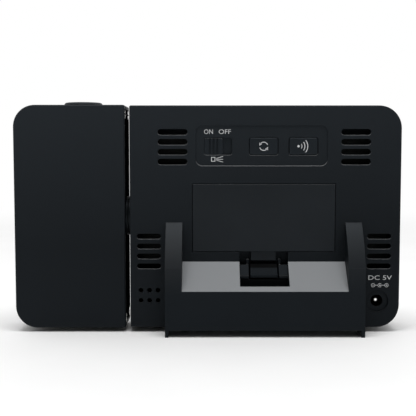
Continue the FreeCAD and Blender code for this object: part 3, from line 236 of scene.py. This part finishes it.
def plastic(name, dark, pale, blue=0.7, gloss=(0.46, 0.56), grain_mm=0.32, grain_depth=0.012, level=0.15,
            painted_light_from=None, sheen=0.0, sheen_span=None, arm_painted_light=0.0, lip_highlight=0.0):
    """Moulded plastic: an etched grain, small edge radii, a slow change of gloss and specks of dust.

    With painted_light_from the tone pales from that height upwards and a little towards +X: painted light,
    for the light from above that falls more on the top and on that side. sheen lightens faces that look up,
    within sheen_span where that is given: a painted sheen standing for the reflection of the lamp overhead.
    arm_painted_light lightens what lies outside sheen_span, more with height: painted light on the upper
    arms. lip_highlight lightens the small radii below openings: painted highlights where they turn up.
    """
    made = Shader(name)
    grain = made.noise(grain_mm, 3.0, 0.6)
    slow = made.noise(28.0, 3.0)
    speck = made.noise(0.9)
    tone = made.mix(made.spread(slow, 0.0, 1.0), grey(dark, blue), grey(pale, blue))
    # Painted light: the tone pales with height and towards +X, where the light from above falls more.
    if painted_light_from:
        high = made.spread(made.along("Z"), 0.0, 0.75, painted_light_from * MM, CASE_TOP_Z * MM)
        aside = made.spread(made.along("X"), 0.0, 0.25, -HALF_LENGTH * MM, HALF_LENGTH * MM)
        tone = made.mix(made.maths("ADD", high, aside), tone, grey(pale * 4.2, blue * 0.6))
    dust_and_painted_light = made.mix(made.spread(speck, 0.0, 0.12, 0.62, 0.8), tone, grey(pale * 4.0))
    # Painted light: outside the span the tone pales with height and towards +X, for light on the upper arms.
    if arm_painted_light:
        outer = made.maths("SUBTRACT", 1.0, made.within("X", *sheen_span))
        high = made.spread(made.along("Z"), 0.0, 1.0, ARM_FADE_LOW_Z * MM, ARM_FADE_HIGH_Z * MM)
        aside = made.spread(made.along("X"), 0.55, 1.0, RIGHT_ARM_X * MM, LEFT_ARM_X * MM)
        share = made.maths("MULTIPLY", made.maths("MULTIPLY", outer, high), aside)
        dust_and_painted_light = made.mix(share, dust_and_painted_light, grey(arm_painted_light, 0.15))
    # Painted sheen: faces that look up turn pale, a painted reflection of the lamp overhead.
    if sheen:
        share = made.upward(0.52, 0.72)
        if sheen_span:
            share = made.maths("MULTIPLY", share, made.within("X", *sheen_span))
        dust_and_painted_light = made.mix(share, dust_and_painted_light, grey(sheen, 0.06))
    # Painted highlights: the small radii that turn up below the openings, away from the door's seam, turn
    # pale.
    if lip_highlight:
        off_seam = made.maths("SUBTRACT", 1.0, made.within("Z", DOOR_SEAM_Z, DOOR_SEAM_HALF_HEIGHT))
        among = made.within("Z", OPENINGS_Z, OPENINGS_HALF_HEIGHT)
        share = made.maths("MULTIPLY", made.maths("MULTIPLY", made.upper_lips(), among), off_seam)
        dust_and_painted_light = made.mix(share, dust_and_painted_light, grey(lip_highlight, 0.06))
    gloss_field = made.maths("ADD", made.maths("MULTIPLY", slow, 0.6), made.maths("MULTIPLY", speck, 0.4))
    made.set(
        colour=dust_and_painted_light,
        roughness=made.spread(gloss_field, gloss[0], gloss[1]),
        normal=made.bump(grain, grain_depth, under=made.soft_edges()),
        level=level,
        tint=(0.80, 0.90, 1.0, 1) if blue else (1, 1, 1, 1),
    )
    return made.material


def shaded_plastic(name, low, high, split_mm, fade_mm=0.3):
    """Plastic whose upper part stands deep in a recess: above split_mm its tone is painted near black as
    painted shade.
    """
    made = Shader(name)
    deep = made.spread(made.along("Z"), 0.0, 1.0, (split_mm - fade_mm) * MM, (split_mm + fade_mm) * MM)
    made.set(
        colour=made.mix(deep, grey(low, 0.5), grey(high, 0.5)),
        roughness=made.spread(made.noise(9.0), 0.5, 0.6),
        normal=made.bump(made.noise(0.32, 3.0, 0.6), 0.012, under=made.soft_edges()),
        level=0.03,
    )
    return made.material


def metal(name, colour, gloss=(0.2, 0.36), stretch=None, depth=0.004):
    """Bare or plated metal with fine drawing lines or a faint grain."""
    made = Shader(name)
    lines = made.noise(0.5, 3.0, 0.6, stretch)
    slow = made.noise(6.0)
    made.set(
        colour=made.mix(made.spread(slow, 0.0, 1.0), dimmed(colour), colour),
        metallic=1.0,
        roughness=made.spread(slow, gloss[0], gloss[1]),
        normal=made.bump(lines, depth),
    )
    return made.material


def pin_metal(name, centre_x, centre_z, radius):
    """A plated pin painted bright near its middle and dark towards its rim: a painted highlight on its domed
    end.
    """
    made = Shader(name)
    across = made.maths("SUBTRACT", made.along("X"), centre_x * MM)
    upward = made.maths("SUBTRACT", made.along("Z"), centre_z * MM)
    rim = made.spread(made.distance(across, upward), 0.0, 1.0, radius * 0.45 * MM, radius * 0.85 * MM)
    made.set(
        colour=made.mix(rim, (0.95, 0.95, 0.93, 1), (0.05, 0.05, 0.05, 1)),
        metallic=1.0,
        roughness=made.spread(made.noise(0.3), 0.16, 0.26),
    )
    return made.material


def rubber(name):
    made = Shader(name)
    fine = made.noise(0.25, 3.0, 0.7)
    made.set(
        colour=made.mix(made.spread(made.noise(2.5), 0.0, 1.0), grey(0.008), grey(0.018)),
        roughness=made.spread(fine, 0.68, 0.86),
        normal=made.bump(fine, 0.02),
        level=0.3,
    )
    return made.material


def board(name, pitch_mm=3.2):
    """Solder mask over copper tracks that run between irregular cells."""
    made = Shader(name)
    grid = made.add("ShaderNodeTexVoronoi", feature="DISTANCE_TO_EDGE", distance="MANHATTAN")
    grid.inputs["Scale"].default_value = 1 / (pitch_mm * MM)
    made.link(made.place, grid.inputs["Vector"])
    tracks = made.spread(grid.outputs["Distance"], 1.0, 0.0, start=0.05, end=0.09)
    made.set(
        colour=made.mix(tracks, (0.0012, 0.0022, 0.0016, 1), (0.003, 0.006, 0.004, 1)),
        roughness=made.spread(made.noise(1.2), 0.5, 0.62),
        level=0.2,
        normal=made.bump(tracks, 0.03),
    )
    return made.material


def glass(name, tint, ior=1.52, gloss=0.02):
    made = Shader(name)
    sheen = made.add("ShaderNodeLayerWeight")
    sheen.inputs["Blend"].default_value = 0.3
    made.set(
        colour=made.mix(sheen.outputs["Facing"], tint, (0.62, 0.72, 0.95, 1)),
        roughness=made.spread(made.noise(4.0), gloss, gloss + 0.03),
        transmission=1.0,
        ior=ior,
    )
    return made.material


def light_plate(name, colour, glow):
    """A white moulded or coated plate that spreads lamp light."""
    made = Shader(name)
    fine = made.noise(0.4)
    made.set(
        colour=made.mix(made.spread(fine, 0.0, 1.0), colour, grey(0.9)),
        roughness=made.spread(fine, 0.35, 0.5),
        normal=made.bump(fine, 0.01),
        glow=colour,
        glow_strength=glow,
    )
    return made.material


def window_material(name, centre, size, corner=2.0, fade=0.25):
    """Dark clear acrylic, printed black on its back outside the display's opening."""
    made = Shader(name)

    def outside(axis, middle, length):
        away = made.maths("ABSOLUTE", made.maths("SUBTRACT", made.along(axis), middle * MM))
        return made.maths("MAXIMUM", made.maths("SUBTRACT", away, (length / 2 - corner) * MM))

    reach = made.distance(outside("X", centre[0], size[0]), outside("Z", centre[1], size[1]))
    masked = made.spread(reach, 0.0, 1.0, (corner - fade / 2) * MM, (corner + fade / 2) * MM)
    smear = made.noise(22.0, 4.0, 0.6)
    made.set(
        colour=made.mix(masked, (0.16, 0.17, 0.19, 1), (0.004, 0.004, 0.005, 1)),
        roughness=made.spread(smear, 0.03, 0.1),
        transmission=made.maths("SUBTRACT", 1.0, masked),
        normal=made.bump(smear, 0.02, 0.3),
        ior=1.49,
    )
    return made.material


def display_material(name):
    """The dark face of a reversed liquid crystal panel, with a faint weave of electrode lines."""
    made = Shader(name)
    weave = made.noise(0.7, 1.0, 0.5, (1.0, 1.0, 6.0))
    made.set(
        colour=made.mix(made.spread(made.noise(40.0), 0.0, 1.0), (0.004, 0.006, 0.011, 1),
                        (0.007, 0.010, 0.018, 1)),
        roughness=made.spread(weave, 0.18, 0.26),
        normal=made.bump(weave, 0.004),
    )
    return made.material


def ink(name, colour):
    """Printed ink: slightly uneven, thinner in small specks."""
    made = Shader(name)
    fine = made.noise(0.22, 3.0, 0.7)
    made.set(
        colour=made.mix(made.spread(fine, 0.0, 1.0, start=0.35, end=0.55), dimmed(colour), colour),
        roughness=made.spread(fine, 0.5, 0.65),
        normal=made.bump(fine, 0.01),
    )
    return made.material


def lit_segment(name, colour, strength):
    made = Shader(name)
    made.set(
        colour=colour,
        roughness=made.spread(made.noise(0.6), 0.3, 0.4),
        glow=made.mix(made.spread(made.noise(30.0), 0.0, 1.0), colour, grey(1.0)),
        glow_strength=strength,
    )
    return made.material


# The case pales with height as painted light and has a faint painted sheen; case and keys have painted
# highlights on their lips.
finishes = {
    "case_plastic": plastic("case_plastic", 0.0026, 0.0038, sheen=0.012, painted_light_from=45.0, lip_highlight=0.22),
    "key_plastic": plastic("key_plastic", 0.0060, 0.0074, gloss=(0.36, 0.46), grain_mm=0.22,
                           grain_depth=0.006, level=0.24, lip_highlight=0.12),
    "hub_plastic": plastic("hub_plastic", 0.0030, 0.0040, gloss=(0.3, 0.42), grain_mm=0.2, grain_depth=0.006),
    "component": plastic("component", 0.004, 0.006, blue=0.0, gloss=(0.5, 0.65), grain_mm=0.3,
                         grain_depth=0.02),
    "ferrite": plastic("ferrite", 0.02, 0.03, blue=-0.1, gloss=(0.7, 0.85), grain_mm=0.25, grain_depth=0.03),
    "cable": plastic("cable", 0.01, 0.015, blue=0.0, gloss=(0.5, 0.65), grain_mm=0.5, grain_depth=0.02),
    "clear_plastic": light_plate("clear_plastic", (0.75, 0.8, 0.86, 1), glow=0.15),
    "led_plate": light_plate("led_plate", (0.85, 0.84, 0.8, 1), glow=0.0),
    "rubber": rubber("rubber"),
    "circuit_board": board("circuit_board"),
    "plated_metal": metal("plated_metal", (0.72, 0.72, 0.7, 1)),
    "aluminium_sink": metal("aluminium_sink", (0.74, 0.75, 0.77, 1), gloss=(0.3, 0.45),
                            stretch=(1.0, 1.0, 12.0), depth=0.01),
    "lens_glass": glass("lens_glass", (0.96, 0.98, 1.0, 1)),
    "window": window_material("window", centre=(DISPLAY_X, 60.3), size=(108.0, 76.0)),
    "display": display_material("display"),
}
by_node = {
    # The foot: a pale painted sheen on its ledge, painted light on its upper arms and painted highlights on
    # its lips.
    "stand_foot": plastic("stand_plastic", 0.0046, 0.0060, sheen=0.26, arm_painted_light=0.023,
                          sheen_span=(SERVICE_X, LEDGE_HALF_LENGTH), lip_highlight=0.08),
    # The buzzer: partly its own black, partly painted shade, darkened and without reflection for the dark
    # inside the sound holes.
    "buzzer": plastic("buzzer_plastic", 0.0006, 0.0010, blue=0.0, gloss=(0.7, 0.8), level=0.0),
    "door_latch": shaded_plastic("latch_plastic", 0.0105, 0.0008, CATCH_SHADE_Z),
    # The door: a faint painted sheen on faces that look up and painted highlights on its lips.
    "battery_door": plastic("door_plastic", 0.0115, 0.0140, blue=0.35, sheen=0.012, lip_highlight=0.2),
    "focus_ring": plastic("ring_plastic", 0.024, 0.03, blue=0.3),
    "dc_jack_pin": pin_metal("pin_metal", JACK_X, PIN_Z, radius=0.95),
    "projector_end_cap": plastic("end_cap_plastic", 0.0022, 0.0028, gloss=(0.8, 0.9), grain_depth=0.05,
                                 level=0.0),
    "dc_jack": plastic("jack_plastic", 0.0012, 0.0018, blue=0.0, gloss=(0.5, 0.6), level=0.1),
}
white_ink = ink("white_ink", (0.62, 0.63, 0.64, 1))
segment_glow = lit_segment("segment_glow", (0.72, 0.86, 1.0, 1), strength=0.9)

for label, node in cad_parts.items():
    for place, slot in enumerate(node.material_slots):
        node.data.materials[place] = by_node.get(label) or finishes[slot.material.name.split(".")[0]]


# Mesh pieces

def shown(name, data):
    """A scene object that shows a mesh, a curve, a lamp or a camera."""
    made = bpy.data.objects.new(name, data)
    bpy.context.scene.collection.objects.link(made)
    return made


def riding(name, mesh, finish, body):
    """A mesh of one finish as a piece that rides on a body."""
    mesh.materials.clear()
    mesh.materials.append(finish)
    made = shown(name, mesh)
    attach(made, body)
    return made


def piece(name, points, faces, finish, body, smooth=False):
    """A mesh piece from points in millimetres."""
    mesh = bpy.data.meshes.new(name)
    mesh.from_pydata([Vector(p) * MM for p in points], [], faces)
    mesh.update()
    if smooth:
        for face in mesh.polygons:
            face.use_smooth = True
    return riding(name, mesh, finish, body)


class Side:
    """A face of the clock that takes print: its origin, the reader's right and up, and its outward normal."""

    def __init__(self, origin, right, up):
        self.origin, self.right, self.up = Vector(origin), Vector(right), Vector(up)
        self.out = self.right.cross(self.up)

    def at(self, across, upward, height=0.0):
        return self.origin + self.right * across + self.up * upward + self.out * height


def rear(x, z, y=PANEL_Y):
    return Side((x, y, z), (-1, 0, 0), (0, 0, 1))


def top(x):
    return Side((x, KEY_ROW_Y, KEY_TOP_Z), (1, 0, 0), (0, 1, 0))


def front(x, z):
    return Side((x, LCD_Y, z), (1, 0, 0), (0, 0, 1))


def raised(side, outlines, depth=PRINT_DEPTH):
    """Points and faces of flat outlines raised over a side: for each, a top face and its walls."""
    points, faces = [], []
    for outline in outlines:
        start, count = len(points), len(outline)
        points += [side.at(a, b, depth) for a, b in outline]
        points += [side.at(a, b, PRINT_ROOT) for a, b in outline]
        faces.append([start + i for i in range(count)])
        faces += [[start + i, start + count + i, start + count + (i + 1) % count, start + (i + 1) % count]
                  for i in range(count)]
    return points, faces


def stroke(path, width, closed=False):
    """A line of one width along a path, as quads that meet at mitred corners."""
    path = [Vector(p) for p in path]
    last = len(path) - 1
    left, right = [], []
    for i, here in enumerate(path):
        before = path[i - 1] if i or closed else here
        after = path[(i + 1) % len(path)] if i < last or closed else here
        first = (here - before).normalized() if here != before else (after - here).normalized()
        second = (after - here).normalized() if after != here else first
        normal = Vector((-first.y - second.y, first.x + second.x)).normalized()
        reach = width / 2 / max(0.35, normal.dot(Vector((-first.y, first.x))))
        left.append(here + normal * reach)
        right.append(here - normal * reach)
    steps = range(len(path) if closed else last)
    return [[right[i], right[(i + 1) % len(path)], left[(i + 1) % len(path)], left[i]] for i in steps]


def arc(centre, radius, start, end, steps=14):
    """Points on an arc, its angles in degrees counted from the right, anticlockwise."""
    turns = [math.radians(start + (end - start) * i / steps) for i in range(steps + 1)]
    return [(centre[0] + radius * math.cos(t), centre[1] + radius * math.sin(t)) for t in turns]


def disc(centre, radius, steps=24):
    return [arc(centre, radius, 0, 360, steps)[:-1]]


def ring(centre, radius, width, steps=20):
    return stroke(disc(centre, radius, steps)[0], width, closed=True)


def arrow_head(tip, turn, size):
    """A triangle whose tip points at turn degrees."""
    t = math.radians(turn)
    along, aside = Vector((math.cos(t), math.sin(t))), Vector((-math.sin(t), math.cos(t)))
    tip = Vector(tip)
    return [[tip, tip - along * size + aside * size * 0.55, tip - along * size - aside * size * 0.55]]


def printed(name, side, outlines, finish, body, depth=PRINT_DEPTH):
    points, faces = raised(side, outlines, depth)
    return piece(name, points, faces, finish, body)


def lettering(name, text, side, height, width):
    """Plain white letters of a stated height and width on the case, centred on the side's origin."""
    curve = bpy.data.curves.new(name, "FONT")
    curve.body = text
    curve.extrude = 0.5
    curve.resolution_u = 4
    shape = shown(name + "_shape", curve)
    bpy.context.view_layer.update()
    mesh = bpy.data.meshes.new_from_object(shape.evaluated_get(bpy.context.evaluated_depsgraph_get()))
    mesh.name = name
    bpy.data.objects.remove(shape)
    bpy.data.curves.remove(curve)
    across = [v.co.x for v in mesh.vertices]
    upward = [v.co.y for v in mesh.vertices]
    middle = ((min(across) + max(across)) / 2, (min(upward) + max(upward)) / 2)
    scale = (width / (max(across) - min(across)), height / (max(upward) - min(upward)))
    for v in mesh.vertices:
        v.co = side.at((v.co.x - middle[0]) * scale[0], (v.co.y - middle[1]) * scale[1],
                       PRINT_DEPTH if v.co.z > 0 else PRINT_ROOT) * MM
    return riding(name, mesh, white_ink, "clock_case")


# Signs, as outlines in millimetres about their middle

def lamp_beam():
    """A lamp with three rays that part."""
    outlines = stroke([(-3.0, -1.0), (-3.0, 1.0), (-1.2, 1.0), (-1.2, -1.0)], 0.35, closed=True)
    for way in (1, 0, -1):
        outlines += stroke([(-0.5, 0.45 * way), (3.0, 1.45 * way)], 0.3)
    return outlines


def turning_arrows(radius=2.1, sweep=130, lead=0.9, head=1.5, line=0.42):
    """Two arrows that follow each other round a circle."""
    outlines = []
    for start in (20, 200):
        outlines += stroke(arc((0, 0), radius, start, start + sweep), line)
        end = math.radians(start + sweep)
        tip = (radius * math.cos(end) - lead * math.sin(end), radius * math.sin(end) + lead * math.cos(end))
        outlines += arrow_head(tip, start + sweep + 90, head)
    return outlines


def radio_waves(source=(-2.6, 0), line=0.42):
    """A point with three arcs that spread from it."""
    outlines = disc(source, 0.6)
    for radius in (1.8, 3.3, 4.8):
        outlines += stroke(arc(source, radius, -40, 40), line)
    return outlines


def polarity(aside=3.5, lead=2.6, line=0.22):
    """The sign of a plug whose centre is the plus: a minus, an open ring round a point, and a plus."""
    outlines = stroke(arc((0, 0), 0.95, 40, 320, 20), 0.24) + disc((0, 0), 0.36)
    outlines += stroke([(-lead, 0), (-0.95, 0)], 0.26) + stroke([(0.3, 0), (lead, 0)], 0.26)
    for x in (-aside, aside):
        outlines += ring((x, 0), 0.92, line) + stroke([(x - 0.5, 0), (x + 0.5, 0)], line)
    return outlines + stroke([(aside, -0.5), (aside, 0.5)], line)


def clock_face():
    return ring((0, 0), 2.0, 0.4, 28) + stroke([(0, 1.25), (0, 0), (0.95, 0)], 0.36)


def bell():
    """A bell with its clapper below and its knob above."""
    outline = [(-1.9, -1.1), (-1.35, -0.7)] + arc((0, 0.2), 1.35, 180, 0) + [(1.35, -0.7), (1.9, -1.1)]
    return stroke(outline, 0.4, closed=True) + disc((0, -1.75), 0.42, 16) + disc((0, 1.9), 0.34, 16)


def crescent():
    return [arc((0, 0), 2.0, 60, 330, 24) + arc((1.15, 0.9), 1.6, 285, 105, 18)]


# Print on the rear and on the keys

lettering("switch_on_word", "ON", rear(SERVICE_X + ON_ASIDE, SWITCH_WORDS_Z), height=2.35, width=4.6)
lettering("switch_off_word", "OFF", rear(SERVICE_X + OFF_ASIDE, SWITCH_WORDS_Z), height=2.35, width=6.3)
printed("projection_symbol", rear(SERVICE_X + SWITCH_SIGN_ASIDE, SWITCH_SIGN_Z), lamp_beam(), white_ink,
        "clock_case")
for body, sign in (("flip", turning_arrows()), ("wave", radio_waves())):
    cap = rear(middle_x(body + "_button"), KEY_SIGN_Z, CAP_Y)
    printed(body + "_symbol", cap, sign, white_ink, body + "_key")
printed("supply_symbol", rear(JACK_X + POLARITY_ASIDE, POLARITY_Z, REAR_Y), polarity(), white_ink,
        "clock_case")
lettering("supply_voltage", "DC 5V", rear(JACK_X + VOLTAGE_ASIDE, VOLTAGE_Z, REAR_Y), height=2.3, width=12.2)

for body, key, mark in (
    ("up", "up_key", arrow_head((0, 1.9), 90, 3.4)),
    ("down", "down_key", arrow_head((0, -1.9), 270, 3.4)),
    ("mode", "mode_key", clock_face()),
    ("alarm", "alarm_key", bell()),
    ("snooze", "snooze_bar", crescent()),
):
    printed(body + "_mark", top(middle_x(key)), mark, white_ink, body)


# The lit time behind the window

SEGMENTS = {"0": "abcdef", "1": "bc", "2": "abdeg", "4": "bcfg", "7": "abc", "8": "abcdefg",
            "-": "g", "C": "adef"}


def segment_bars(width, height, thick, gap):
    """The seven bars of one digit as six-sided outlines about its lower left corner."""
    half, middle = thick / 2, height / 2

    def bar(low, high):
        """Places along and across one bar, whose tips stay a gap short of low and high."""
        a, b = low + gap, high - gap
        return [(a, 0), (a + half, half), (b - half, half), (b, 0), (b - half, -half), (a + half, -half)]

    def level(z):
        return [(along, z + across) for along, across in bar(half, width - half)]

    def upright(x, low, high):
        return [(x + across, along) for along, across in bar(low, high)]

    return {"a": level(height - half), "g": level(middle), "d": level(half),
            "f": upright(half, middle, height - half), "b": upright(width - half, middle, height - half),
            "e": upright(half, half, middle), "c": upright(width - half, half, middle)}


def digits(name, text, x, z, height, lean=0.09):
    """A row of seven-segment digits centred on x, its foot at z."""
    width, thick, gap = height * 0.54, height * 0.115, height * 0.012
    bars = segment_bars(width, height, thick, gap)
    outlines, pen = [], 0.0
    for letter in text:
        if letter == ":":
            for share in (0.3, 0.7):
                outlines += disc((pen + thick * 0.4, height * share), thick * 0.6, 20)
            pen += thick * 2.0
        elif letter == ".":
            outlines += disc((pen - thick * 0.2, height), thick * 0.55, 16)
            pen += thick * 1.2
        else:
            outlines += [[(pen + a, b) for a, b in bars[s]] for s in SEGMENTS[letter]]
            pen += width * 1.26
    middle = (pen - width * 0.26 + height * lean) / 2
    outlines = [[(a + b * lean - middle, b) for a, b in outline] for outline in outlines]
    printed(name, front(x, z), outlines, segment_glow, "clock_case", LIT_DEPTH)


digits("time_digits", "10:08", DISPLAY_X, TIME_Z, height=33.0)
for step, label, text in ((-1, "alarm", "7:00"), (0, "date", "10-24"), (1, "warmth", "21.C")):
    digits(label + "_digits", text, DISPLAY_X + SMALL_ROW_PITCH * step, SMALL_ROW_Z, height=9.5)
rule = stroke([(-RULE_HALF_LENGTH, 0.0), (RULE_HALF_LENGTH, 0.0)], 0.5)
printed("display_rule", front(DISPLAY_X, RULE_Z), rule, segment_glow, "clock_case", LIT_DEPTH)


# Coiled battery springs

def spring(name, root, tip, centre, turns=4.5, radii=(3.3, 2.0), wire=0.32, steps=28, sides=8):
    """A conical coil along X, standing where the CAD has a plain cone."""
    count = int(turns * steps)
    points, faces = [], []
    span = tip - root
    inset = wire / abs(span)
    for i in range(count + 1):
        share = i / count
        turn = share * turns * math.tau
        radius = radii[0] + (radii[1] - radii[0]) * share
        axis = root + span * (inset + share * (1 - 2 * inset))
        for j in range(sides):
            t = math.tau * j / sides
            reach = radius + wire * math.cos(t)
            points.append((axis + wire * math.sin(t), centre[0] + reach * math.cos(turn),
                           centre[1] + reach * math.sin(turn)))
    for i in range(count):
        for j in range(sides):
            a, b = i * sides + j, i * sides + (j + 1) % sides
            faces.append([a, b, b + sides, a + sides])
    faces += [list(range(sides))[::-1], [count * sides + j for j in range(sides)]]
    return piece(name, points, faces, finishes["plated_metal"], "clock_case", smooth=True)


coil_low, coil_high = (tuple(c / MM for c in corner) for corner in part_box("battery_springs"))
COIL_LENGTH, LANE_PITCH = 4.0, 10.9
coil_y, coil_z = (coil_low[1] + coil_high[1]) / 2, (coil_low[2] + coil_high[2]) / 2
for lane in (-1, 0, 1):
    root = coil_low[0] if lane else coil_high[0]
    tip = root + COIL_LENGTH if lane else root - COIL_LENGTH
    coil = spring("battery_spring_%d" % (lane + 2), root, tip, (coil_y, coil_z + LANE_PITCH * lane))
    if lane == -1:
        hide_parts("battery_springs")


# Studio

def floor(size=6.0, plain_from=0.34, plain_to=0.9):
    """White paper that keeps the shadow near the clock and is plain white further off."""
    mesh = bpy.data.meshes.new("floor")
    corners = [(-size, -size, 0), (size, -size, 0), (size, size, 0), (-size, size, 0)]
    mesh.from_pydata(corners, [], [(0, 1, 2, 3)])
    look = Shader("floor_paper")
    reach = look.add("ShaderNodeVectorMath", operation="LENGTH")
    look.link(look.place, reach.inputs[0])
    plain = look.spread(reach.outputs["Value"], 0.0, 1.0, plain_from, plain_to, smooth=True)
    look.set(
        colour=look.mix(look.spread(look.noise(60.0), 0.0, 1.0), grey(0.86), grey(0.88)),
        roughness=look.spread(look.noise(3.0), 0.75, 0.85),
        level=0.2,
    )
    white = look.add("ShaderNodeEmission")
    white.inputs["Color"].default_value = grey(1.0)
    both = look.add("ShaderNodeMixShader")
    look.link(plain, both.inputs[0])
    look.link(look.surface.outputs[0], both.inputs[1])
    look.link(white.outputs[0], both.inputs[2])
    look.link(both.outputs[0], look.output.inputs["Surface"])
    mesh.materials.append(look.material)
    made = shown("floor", mesh)


def room(overhead=0.9, behind_object=1.0, behind_camera=0.12):
    """Light from all round: bright beyond the clock, dim behind the camera, and white where it is seen."""
    world = bpy.data.worlds.new("room")
    bpy.context.scene.world = world
    world.use_nodes = True
    look = Nodes(world.node_tree)
    axes = look.split(look.add("ShaderNodeTexCoord").outputs["Generated"])
    walls = look.spread(axes["Y"], behind_object, behind_camera, -0.35, 0.35, smooth=True)
    ceiling = look.spread(axes["Z"], 0.0, 1.0, 0.35, 0.9, smooth=True)
    light = look.blend(ceiling, walls, overhead)
    path = look.add("ShaderNodeLightPath")
    seen = look.maths("MAXIMUM", path.outputs["Is Camera Ray"], path.outputs["Is Transmission Ray"])
    background = look.tree.nodes["Background"]
    background.inputs["Color"].default_value = (1, 1, 1, 1)
    look.link(look.blend(seen, light, 1.0), background.inputs["Strength"])


def softbox(name, place, aim, width, height, radiance):
    lamp = bpy.data.lights.new(name, "AREA")
    lamp.shape = "RECTANGLE"
    lamp.size, lamp.size_y = width, height
    lamp.energy = radiance * math.pi * width * height
    made = shown(name, lamp)
    made.location = place
    made.rotation_euler = (Vector(aim) - Vector(place)).to_track_quat("-Z", "Y").to_euler()


def camera(place, pitch, focal_px=805.0, image_px=416.0, sensor=36.0):
    """The photograph's view: from behind the clock, above its middle, looking down by pitch degrees."""
    lens = bpy.data.cameras.new("camera")
    lens.sensor_width = sensor
    lens.lens = focal_px / image_px * sensor
    made = shown("camera", lens)
    made.location = place
    made.rotation_euler = (math.radians(90 - pitch), 0, math.radians(180))
    bpy.context.scene.camera = made


floor()
room()
softbox("overhead", place=(0.0, 0.24, 1.15), aim=(0.0, 0.05, 0.0), width=0.7, height=0.42, radiance=8.0)
camera(place=(-0.0003, 0.4228, 0.0959), pitch=4.22)
bpy.context.scene.view_settings.view_transform = "Standard"
